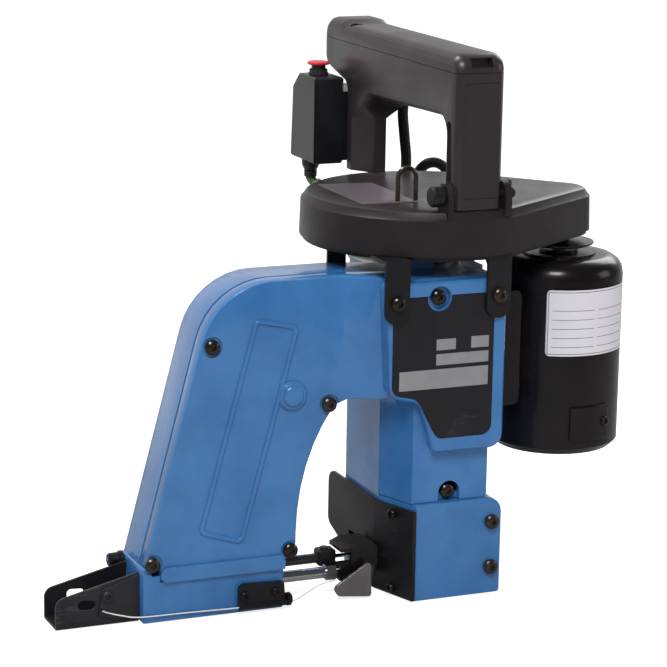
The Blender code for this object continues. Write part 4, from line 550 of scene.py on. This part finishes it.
class BAGCLOSER_OT_leg_bead(Part):
    """Makes the raised bead that frames the bare panel on the needle leg"""

    bl_idname = "bag_closer.leg_bead"
    bl_label = "Leg bead"

    def make(self, sizes, colours):
        front = 0.0169
        outline = rounded([(-0.1316, 0.0520), (-0.1064, 0.0440), (-0.0726, 0.1706), (-0.0980, 0.1761)],
                          0.0032, 9)
        path = np.stack([outline[:, 0], np.full(len(outline), front), outline[:, 1]], axis=1)
        steps = np.linspace(0, len(path), 160, endpoint=False)
        closed = np.concatenate([path, path[:1]])
        whole = np.floor(steps).astype(int)
        path = closed[whole] + (closed[whole + 1] - closed[whole]) * (steps - whole)[:, None]
        bead = tube("leg_bead", path, sizes.bead, 16, closed=True, squash=0.72)
        trim(bead, "machine_body", "blue_enamel_look")
        profile = [(0, -0.0003), (0.0064, -0.0003), (0.0063, 0.0006), (0.0058, 0.0012), (0.0048, 0.0015),
                   (0, 0.0016)]
        boss = turned("hub_boss", profile, (-0.0752, front - 0.0021, 0.1299), (0, -1, 0), 48)
        trim(boss, "machine_body", "blue_enamel_look")


class BAGCLOSER_OT_nameplate(Part):
    """Dresses the nameplate and sets its bare badges on it"""

    bl_idname = "bag_closer.nameplate"
    bl_label = "Nameplate"

    def make(self, sizes, colours):
        dressed("nameplate", "plate_look", 0.0002)
        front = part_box("nameplate")[0].y - CORNER[1]

        def on_plate(u, v, height):
            return np.stack([u, front - height, v], axis=-1)

        fields = ((7.3, 155.0, 19.8, 161.7), (29.8, 155.0, 41.3, 162.0), (7.3, 146.0, 41.3, 152.8),
                  (-16.2, 132.0, 41.3, 143.7))
        for number, (x0, z0, x1, z1) in enumerate(fields):
            outline = rounded(np.array([(x0, z0), (x1, z0), (x1, z1), (x0, z1)]) / 1000, 0.0004, 4)
            trim(badge(f"plate_field_{number + 1}", outline, on_plate, sizes.badge_proud), "machine_body",
                 "badge_look")


class BAGCLOSER_OT_sheet_metal(Part):
    """Dresses the black sheet parts: throat plate, bag guide, brackets and clips"""

    bl_idname = "bag_closer.sheet_metal"
    bl_label = "Sheet metal"

    def make(self, sizes, colours):
        dressed("bag_guide", "guide_look", sizes.sheet_edge)
        for node in ("throat_plate", "cover_bracket", "thread_bracket"):
            dressed(node, "oxide_look", sizes.sheet_edge)
        dressed("motor_bracket", "gloss_black_look", sizes.sheet_edge)
        dressed("thread_loop", "bronze_look")


class BAGCLOSER_OT_needle_side(Part):
    """Dresses the needle bar, the presser and what drives them"""

    bl_idname = "bag_closer.needle_side"
    bl_label = "Needle side"

    def make(self, sizes, colours):
        looks = {
            "needle_bar": "dark_steel_look", "needle_clamp": "oxide_look", "needle": "chrome_look",
            "presser_bar": "chrome_look", "presser_foot": "gloss_black_look",
            "foot_guard": "guard_look", "looper": "steel_look", "feed_dog": "steel_look",
            "needle_lever": "cast_iron_look", "lever_pivot": "steel_look",
            "connecting_rod": "steel_look", "presser_spring": "steel_look",
            "tension_knob": "oxide_look",
        }
        edges = {"presser_foot": 0.0006, "foot_guard": 0.0003, "needle_clamp": 0.0004}
        for node, look in looks.items():
            dressed(node, look, edges.get(node, 0.0))


class BAGCLOSER_OT_drive(Part):
    """Dresses the shaft, the bearings, the pulleys and the belt"""

    bl_idname = "bag_closer.drive"
    bl_label = "Drive"

    def make(self, sizes, colours):
        looks = {
            "main_shaft": "steel_look", "drive_pulley": "aluminium_look", "needle_eccentric": "steel_look",
            "feed_eccentric": "steel_look", "bearing_flange": "aluminium_look",
            "upper_bearing": "steel_look", "lower_bearing": "steel_look", "drive_belt": "rubber_look",
            "motor_rotor": "chrome_look", "motor_pulley": "aluminium_look", "motor_fan": "gloss_black_look",
            "motor_stator": "copper_look",
        }
        for node, look in looks.items():
            dressed(node, look)


class BAGCLOSER_OT_motor(Part):
    """Dresses the motor, its hatch and its bare label"""

    bl_idname = "bag_closer.motor"
    bl_label = "Motor"

    def make(self, sizes, colours):
        dressed("motor_housing", "gloss_black_look")
        dressed("motor_hatch", "gloss_black_look", 0.0005)
        low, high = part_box("motor_housing")
        centre = np.array([(low.x + high.x) / 2, (low.y + high.y) / 2])
        radius = (high.x - low.x) / 2
        # The label lies on the motor: its columns are angles round the axis and its rows heights, and
        # each row near an end is drawn in by its corner's arc.
        left, wide, low, tall, corner = -126.5, 86.5, 0.1392, 0.0410, 0.0025
        v = (1 - np.cos(np.linspace(0, math.pi, 25))) / 2
        into = np.clip(corner - np.minimum(v, 1 - v) * tall, 0, corner)
        inset = (corner - np.sqrt(corner**2 - into**2)) / (math.radians(wide) * radius)
        u = inset[:, None] + np.linspace(0, 1, 60)[None, :] * (1 - 2 * inset[:, None])
        v = np.repeat(v[:, None], 60, axis=1)
        angle = np.radians(left + wide * u)
        grid = np.stack([centre[0] + (radius + 0.0004) * np.cos(angle),
                         centre[1] + (radius + 0.0004) * np.sin(angle), low + tall * v], axis=-1)
        label = sheet_of("motor_label", grid)
        uv = label.data.uv_layers.new(name="UVMap")
        loop = np.empty(len(label.data.loops), np.int32)
        label.data.loops.foreach_get("vertex_index", loop)
        points = np.empty(len(label.data.vertices) * 3, np.float32)
        label.data.vertices.foreach_get("co", points)
        points = points.reshape(-1, 3).astype(float)[loop]
        turn = np.degrees(np.arctan2(points[:, 1] - centre[1], points[:, 0] - centre[0]))
        flat = np.stack([(turn - left) / wide, (points[:, 2] - low) / tall], axis=1)
        uv.data.foreach_set("uv", flat.astype(np.float32).ravel())
        wall = label.modifiers.new("Paper", "SOLIDIFY")
        wall.thickness, wall.offset = 0.0003, 1.0
        trim(label, "machine_body", "label_look")
        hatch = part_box("motor_hatch")
        out = np.array([math.cos(math.radians(-69.5)), math.sin(math.radians(-69.5))])
        spot = np.append(centre + out * (radius + 0.0022) - CORNER[:2], (hatch[0].z + hatch[1].z) / 2)
        trim(screw("hatch_screw", spot, (*out, 0), 0.0032, 0.0014), "machine_body", "bronze_look")


class BAGCLOSER_OT_belt_cover(Part):
    """Dresses the belt cover and lays the bare rating plate on it"""

    bl_idname = "bag_closer.belt_cover"
    bl_label = "Belt cover"

    def make(self, sizes, colours):
        dressed("belt_cover", "cover_look", sizes.plastic_edge, 30)
        top = 0.2375

        def on_cover(u, v, height):
            return np.stack([u, v, top + height], axis=-1)

        outline = rounded([(-0.0255, 0.1040), (-0.0259, 0.0337), (0.0084, 0.0297), (0.0088, 0.0985)], 0.0015)
        trim(badge("cover_plate", outline, on_cover, 0.0004), "machine_body", "rating_look")


class BAGCLOSER_OT_handle(Part):
    """Dresses the two halves of the handle, its pin and its clip"""

    bl_idname = "bag_closer.handle"
    bl_label = "Handle"

    def make(self, sizes, colours):
        for node in ("handle_body", "handle_top"):
            dressed(node, "handle_look", sizes.plastic_edge, 30)
        dressed("handle_pin", "oxide_look")
        dressed("pin_clip", "steel_look")


class BAGCLOSER_OT_switch(Part):
    """Dresses the switch box, its bush and the start button"""

    bl_idname = "bag_closer.switch"
    bl_label = "Switch"

    def make(self, sizes, colours):
        dressed("switch_box", "switch_look", 0.0003)
        dressed("button_bush", "rubber_look")
        dressed("start_button", "button_look")


class BAGCLOSER_OT_leads(Part):
    """Makes the three leads and the sewing thread, and the grommets and sleeves they run through"""

    bl_idname = "bag_closer.leads"
    bl_label = "Leads"

    def make(self, sizes, colours):
        entry, out = 0.0863, 0.1167
        routes = {
            "switch_lead": ([
                (0.0020, 0.1815, 0.2316), (0.0020, 0.1815, 0.2280), (0.0048, 0.1788, 0.2235),
                (0.0085, 0.1740, 0.2180), (0.0105, 0.1650, 0.2070), (0.0105, 0.1450, 0.1930),
                (0.0090, 0.1200, 0.1850), (0.0080, 0.1000, 0.1830), (0.0080, entry, 0.1830)],
                0.0030, "green_look", "medium", "loose"),
            "handle_lead": ([
                (0.0473, 0.1440, 0.2940), (0.0503, 0.1440, 0.2937), (0.0520, 0.1450, 0.2895),
                (0.0518, 0.1475, 0.2820), (0.0515, 0.1490, 0.2720), (0.0533, 0.1497, 0.2570),
                (0.0548, 0.1495, 0.2400), (0.0520, 0.1480, 0.2200), (0.0430, 0.1400, 0.2020),
                (0.0310, 0.1230, 0.1860), (0.0240, 0.1040, 0.1790), (0.0240, entry, 0.1770)],
                0.0034, "rubber_look", "stiff", "loose"),
            "motor_lead": ([
                (0.0360, entry, 0.1500), (0.0370, 0.1080, 0.1510), (0.0420, 0.1290, 0.1640),
                (0.0500, 0.1440, 0.1880), (0.0590, 0.1530, 0.2170), (0.0680, 0.1545, 0.2350),
                (0.0790, 0.1520, 0.2378), (0.0890, 0.1460, 0.2260), (0.0970, 0.1380, 0.2060),
                (0.1040, 0.1290, 0.1840), (0.1100, 0.1180, 0.1600), (0.1150, 0.1080, 0.1370),
                (out, 0.1003, 0.1330), (out, 0.0959, 0.1330)],
                0.0034, "rubber_look", "stiff", "loose"),
            "thread": ([
                (-0.1900, 0.0221, 0.0095), (-0.1870, 0.0195, 0.0088), (-0.1800, 0.0178, 0.0070),
                (-0.1690, 0.0160, 0.0052), (-0.1400, 0.0158, 0.0046), (-0.1090, 0.0146, 0.0042),
                (-0.0950, 0.0146, 0.0042), (-0.0820, 0.0146, 0.0042), (-0.0745, 0.0146, 0.0042),
                (-0.0650, 0.0170, 0.0070), (-0.0560, 0.0196, 0.0103), (-0.0445, 0.0203, 0.0123)],
                0.0004, "thread_look", "limp", "taut"),
        }
        for node, (stops, radius, look, stiffness, lay) in routes.items():
            path = self.route(stops, min(1.2 * radius, 0.0016))
            lead = tube(node + "_look", path, radius, 20 if radius > 0.001 else 10)
            trim(lead, "machine_body", look, 80)
            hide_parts(node)
        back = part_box("main_frame")[1].y - CORNER[1]
        for name, x, z, bore in (("grommet_switch", 0.0080, 0.1830, 0.0031),
                                 ("grommet_handle", 0.0240, 0.1770, 0.0035),
                                 ("grommet_motor", 0.0360, 0.1500, 0.0035)):
            profile = [(bore, 0.0), (bore + 0.0030, 0.0), (bore + 0.0030, 0.0022), (bore + 0.0024, 0.0028),
                       (bore + 0.0010, 0.0060), (bore + 0.0001, 0.0062), (bore, 0.0)]
            trim(turned(name, profile, (x, back, z), (0, 1, 0), 32), "machine_body", "rubber_look")
        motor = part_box("motor_housing")
        profile = [(0.0035, 0.0003), (0.0062, 0.0003), (0.0062, 0.0024), (0.0045, 0.0052), (0.0035, 0.0054),
                   (0.0035, 0.0003)]
        centre = (out, motor[1].y - CORNER[1], 0.1330)
        trim(turned("grommet_housing", profile, centre, (0, 1, 0), 32), "machine_body", "rubber_look")
        sleeve = [(0.0031, 0.0), (0.0042, 0.0), (0.0040, 0.0040), (0.0032, 0.0042), (0.0031, 0.0)]
        trim(turned("gland_sleeve", sleeve, (0.0020, 0.1815, 0.2327), (0, 0, -1), 32), "machine_body",
             "rubber_look")
        ring = [(0.0031, 0.0), (0.0041, 0.0), (0.0044, 0.0005), (0.0044, 0.0023), (0.0041, 0.0028),
                (0.0031, 0.0028), (0.0031, 0.0)]
        trim(turned("lead_ring", ring, (0.0040, 0.1796, 0.2249), (0.50, -0.49, -0.72), 32), "machine_body",
             "cream_look")

    def route(self, stops, spacing):
        """Points about spacing apart on a smooth curve through the stops: each span is the cubic
        whose slopes at its ends are half the step between the stops on either side."""
        stops = np.array(stops, float)
        ends = np.concatenate([[2 * stops[0] - stops[1]], stops, [2 * stops[-1] - stops[-2]]])
        spans = []
        for a, b, c, d in zip(ends[:-3], ends[1:-2], ends[2:-1], ends[3:]):
            t = np.linspace(0, 1, max(3, round(float(np.linalg.norm(c - b)) / spacing)), endpoint=False)
            t = t[:, None]
            spans.append(0.5 * (2 * b + (c - a) * t + (2 * a - 5 * b + 4 * c - d) * t**2
                                + (3 * b - a - 3 * c + d) * t**3))
        return np.concatenate(spans + [stops[-1:]])


class BAGCLOSER_OT_screws(Part):
    """Dresses the socket screws and adds the small ones"""

    bl_idname = "bag_closer.screws"
    bl_label = "Screws"

    def make(self, sizes, colours):
        for node in sorted(frame["nodes"]):
            if "_screw_" in node:
                dressed(node, "bronze_look", 0.00025)
        r = sizes.small_screw
        chamfer = np.array([-0.0280, -0.0105, 0.0]) / 0.0299
        spots = {
            "throat_screw_top": ((-0.0107, 0.0152, 0.0515), chamfer, r, "bronze_look"),
            "throat_screw_low": ((-0.0107, 0.0152, 0.0050), chamfer, r, "bronze_look"),
            "guide_screw": ((-0.1866, 0.0228, 0.0177), (0, -1, 0), 0.0034, "guide_look"),
            "bracket_screw_left": ((-0.1050, 0.0140, 0.0111), (0, -1, 0), r, "oxide_look"),
            "bracket_screw_right": ((-0.0850, 0.0140, 0.0116), (0, -1, 0), r, "oxide_look"),
            "boss_screw": ((0.0120, 0.0370, 0.2045), (0, 0, 1), 0.0045, "bronze_look"),
        }
        for name, (centre, axis, radius, look) in spots.items():
            trim(screw(name, centre, axis, radius), "machine_body", look)


class BAGCLOSER_OT_stage(Part):
    """Sets the pale floor, the soft lamps and the camera at the photograph's angle"""

    bl_idname = "bag_closer.stage"
    bl_label = "Stage"

    def make(self, sizes, colours):
        scene = bpy.context.scene
        scene.view_settings.view_transform = "Standard"
        self.floor()
        self.world(scene)
        middle = (0.0, 0.0, 0.15)
        for name, place, energy, width in (("key", (-0.8, -1.45, 1.85), 36.0, 0.7),
                                           ("fill", (2.0, -0.9, 0.8), 5.0, 0.8),
                                           ("rim", (1.3, 1.0, 1.1), 10.0, 0.9),
                                           ("top", (-0.45, 0.40, 1.60), 12.0, 0.35)):
            lamp = bpy.data.lights.new(name, "AREA")
            lamp.energy, lamp.size = energy, width
            obj = bpy.data.objects.new(name, lamp)
            obj.matrix_world = self.looking(place, middle)
            scene.collection.objects.link(obj)
        camera = bpy.data.cameras.new("camera")
        camera.sensor_width, camera.lens = 36.0, 139.3
        camera.clip_start, camera.clip_end = 0.05, 20.0
        obj = bpy.data.objects.new("camera", camera)
        turn = Matrix(((0.92211, 0.07363, -0.37984), (-0.38657, 0.21603, -0.89660),
                       (0.01604, 0.97360, 0.22767)))
        obj.matrix_world = Matrix.Translation((-0.6513, -1.3975, 0.5083)) @ turn.to_4x4()
        scene.collection.objects.link(obj)
        scene.camera = obj

    def looking(self, place, target):
        """Matrix at place whose -Z looks at the target."""
        away = np.array(place, float) - np.array(target)
        turn = facing(away)
        matrix = Matrix(turn.tolist()).to_4x4()
        matrix.translation = place
        return matrix

    def floor(self):
        """A pale disc that stands for the bench, made of rings about the origin. Camera rays see it
        white with the shadow on it. Gloss rays see it darker, and paler again towards the back."""
        rings = np.array([0.0, 0.5, 1.0, 2.0, 4.0])
        sides, under = 48, -0.0003
        angle = np.linspace(0, 2 * math.pi, sides, endpoint=False)
        grid = np.stack([rings[:, None] * np.cos(angle), rings[:, None] * np.sin(angle),
                         np.full((len(rings), sides), under)], axis=-1)
        floor = sheet_of("floor", grid, (False, True))
        made = bpy.data.materials.new("floor_look")
        made.use_nodes = True
        nodes = Nodes(made.node_tree)
        shader = made.node_tree.nodes["Principled BSDF"]
        shader.inputs["Roughness"].default_value = 0.9
        shader.inputs["Specular IOR Level"].default_value = 0.1
        rays = nodes.add("LightPath")
        seen, reflected, white = (0.62, 0.62, 0.62, 1), (0.34, 0.34, 0.34, 1), 0.78
        pale = nodes.add("Mix", {"data_type": "RGBA"}, Factor=rays.outputs["Is Glossy Ray"])
        pale.inputs[6].default_value, pale.inputs[7].default_value = seen, reflected
        made.node_tree.links.new(pale.outputs[2], shader.inputs["Base Color"])
        split = nodes.add("SeparateXYZ", Vector=nodes.add("TexCoord").outputs["Object"])
        sweep = nodes.add("MapRange", {"interpolation_type": "SMOOTHSTEP"}, Value=split.outputs["Y"],
                          From_Min=0.30, From_Max=1.30, To_Min=0.03, To_Max=0.50)
        mirrored = nodes.add("Math", {"operation": "MULTIPLY"}, _0=rays.outputs["Is Glossy Ray"],
                             _1=sweep.outputs[0])
        lift = nodes.add("Math", {"operation": "MULTIPLY_ADD"}, _0=rays.outputs["Is Camera Ray"], _1=white,
                         _2=mirrored.outputs[0])
        glow = nodes.add("Emission", Strength=lift.outputs[0])
        both = nodes.add("AddShader", _0=shader.outputs[0], _1=glow.outputs[0])
        out = made.node_tree.nodes["Material Output"]
        made.node_tree.links.new(both.outputs[0], out.inputs["Surface"])
        floor.data.materials.append(made)

    def world(self, scene):
        """Grey light all round. Camera rays see it white, and gloss rays see a white sweep behind the
        object and a dim room in front of it: their level follows the ray's direction."""
        scene.world = scene.world or bpy.data.worlds.new("World")
        scene.world.use_nodes = True
        nodes = Nodes(scene.world.node_tree)
        ground = scene.world.node_tree.nodes["Background"]
        rays = nodes.add("LightPath")
        split = nodes.add("SeparateXYZ", Vector=nodes.add("TexCoord").outputs["Generated"])
        sweep = nodes.add("MapRange", {"interpolation_type": "SMOOTHSTEP"}, Value=split.outputs["Y"],
                          From_Min=-0.10, From_Max=0.80, To_Min=0.08, To_Max=0.72)
        mirrored = nodes.add("Math", {"operation": "MAXIMUM"}, _0=rays.outputs["Is Glossy Ray"],
                             _1=rays.outputs["Is Transmission Ray"])
        level = nodes.add("Mix", Factor=mirrored.outputs[0])
        level.inputs[2].default_value = 0.42
        nodes.tree.links.new(sweep.outputs[0], level.inputs[3])
        shown = nodes.add("Mix", Factor=rays.outputs["Is Camera Ray"])
        nodes.tree.links.new(level.outputs[0], shown.inputs[2])
        shown.inputs[3].default_value = 1.0
        tint = nodes.add("CombineColor")
        for channel in range(3):
            nodes.tree.links.new(shown.outputs[0], tint.inputs[channel])
        scene.world.node_tree.links.new(tint.outputs[0], ground.inputs["Color"])
        ground.inputs["Strength"].default_value = 1.0


OPERATORS = (
    BAGCLOSER_OT_stage, BAGCLOSER_OT_finishes, BAGCLOSER_OT_leads, BAGCLOSER_OT_castings,
    BAGCLOSER_OT_leg_bead, BAGCLOSER_OT_nameplate, BAGCLOSER_OT_sheet_metal, BAGCLOSER_OT_needle_side,
    BAGCLOSER_OT_drive, BAGCLOSER_OT_motor, BAGCLOSER_OT_belt_cover, BAGCLOSER_OT_handle,
    BAGCLOSER_OT_switch, BAGCLOSER_OT_screws,
)


class BAGCLOSER_PT_panel(bpy.types.Panel):
    """Lists the sizes, the colours and the operators"""

    bl_idname = "BAGCLOSER_PT_panel"
    bl_label = "Bag closer"
    bl_space_type = "VIEW_3D"
    bl_region_type = "UI"
    bl_category = "Bag closer"

    def draw(self, context):
        for group in (context.scene.bag_closer_sizes, context.scene.bag_closer_colours):
            for key in group.bl_rna.properties.keys():
                if key not in ("rna_type", "name"):
                    self.layout.prop(group, key)
        for operator in OPERATORS:
            self.layout.operator(operator.bl_idname)


CLASSES = (BagCloserSizes, BagCloserColours, *OPERATORS, BAGCLOSER_PT_panel)


def register():
    for cls in CLASSES:
        bpy.utils.register_class(cls)
    bpy.types.Scene.bag_closer_sizes = bpy.props.PointerProperty(type=BagCloserSizes)
    bpy.types.Scene.bag_closer_colours = bpy.props.PointerProperty(type=BagCloserColours)


def unregister():
    del bpy.types.Scene.bag_closer_colours
    del bpy.types.Scene.bag_closer_sizes
    for cls in reversed(CLASSES):
        bpy.utils.unregister_class(cls)


def main():
    """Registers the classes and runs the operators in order."""
    register()
    for operator in OPERATORS:
        group, name = operator.bl_idname.split(".")
        getattr(getattr(bpy.ops, group), name)()


if __name__ == "__main__":
    main()
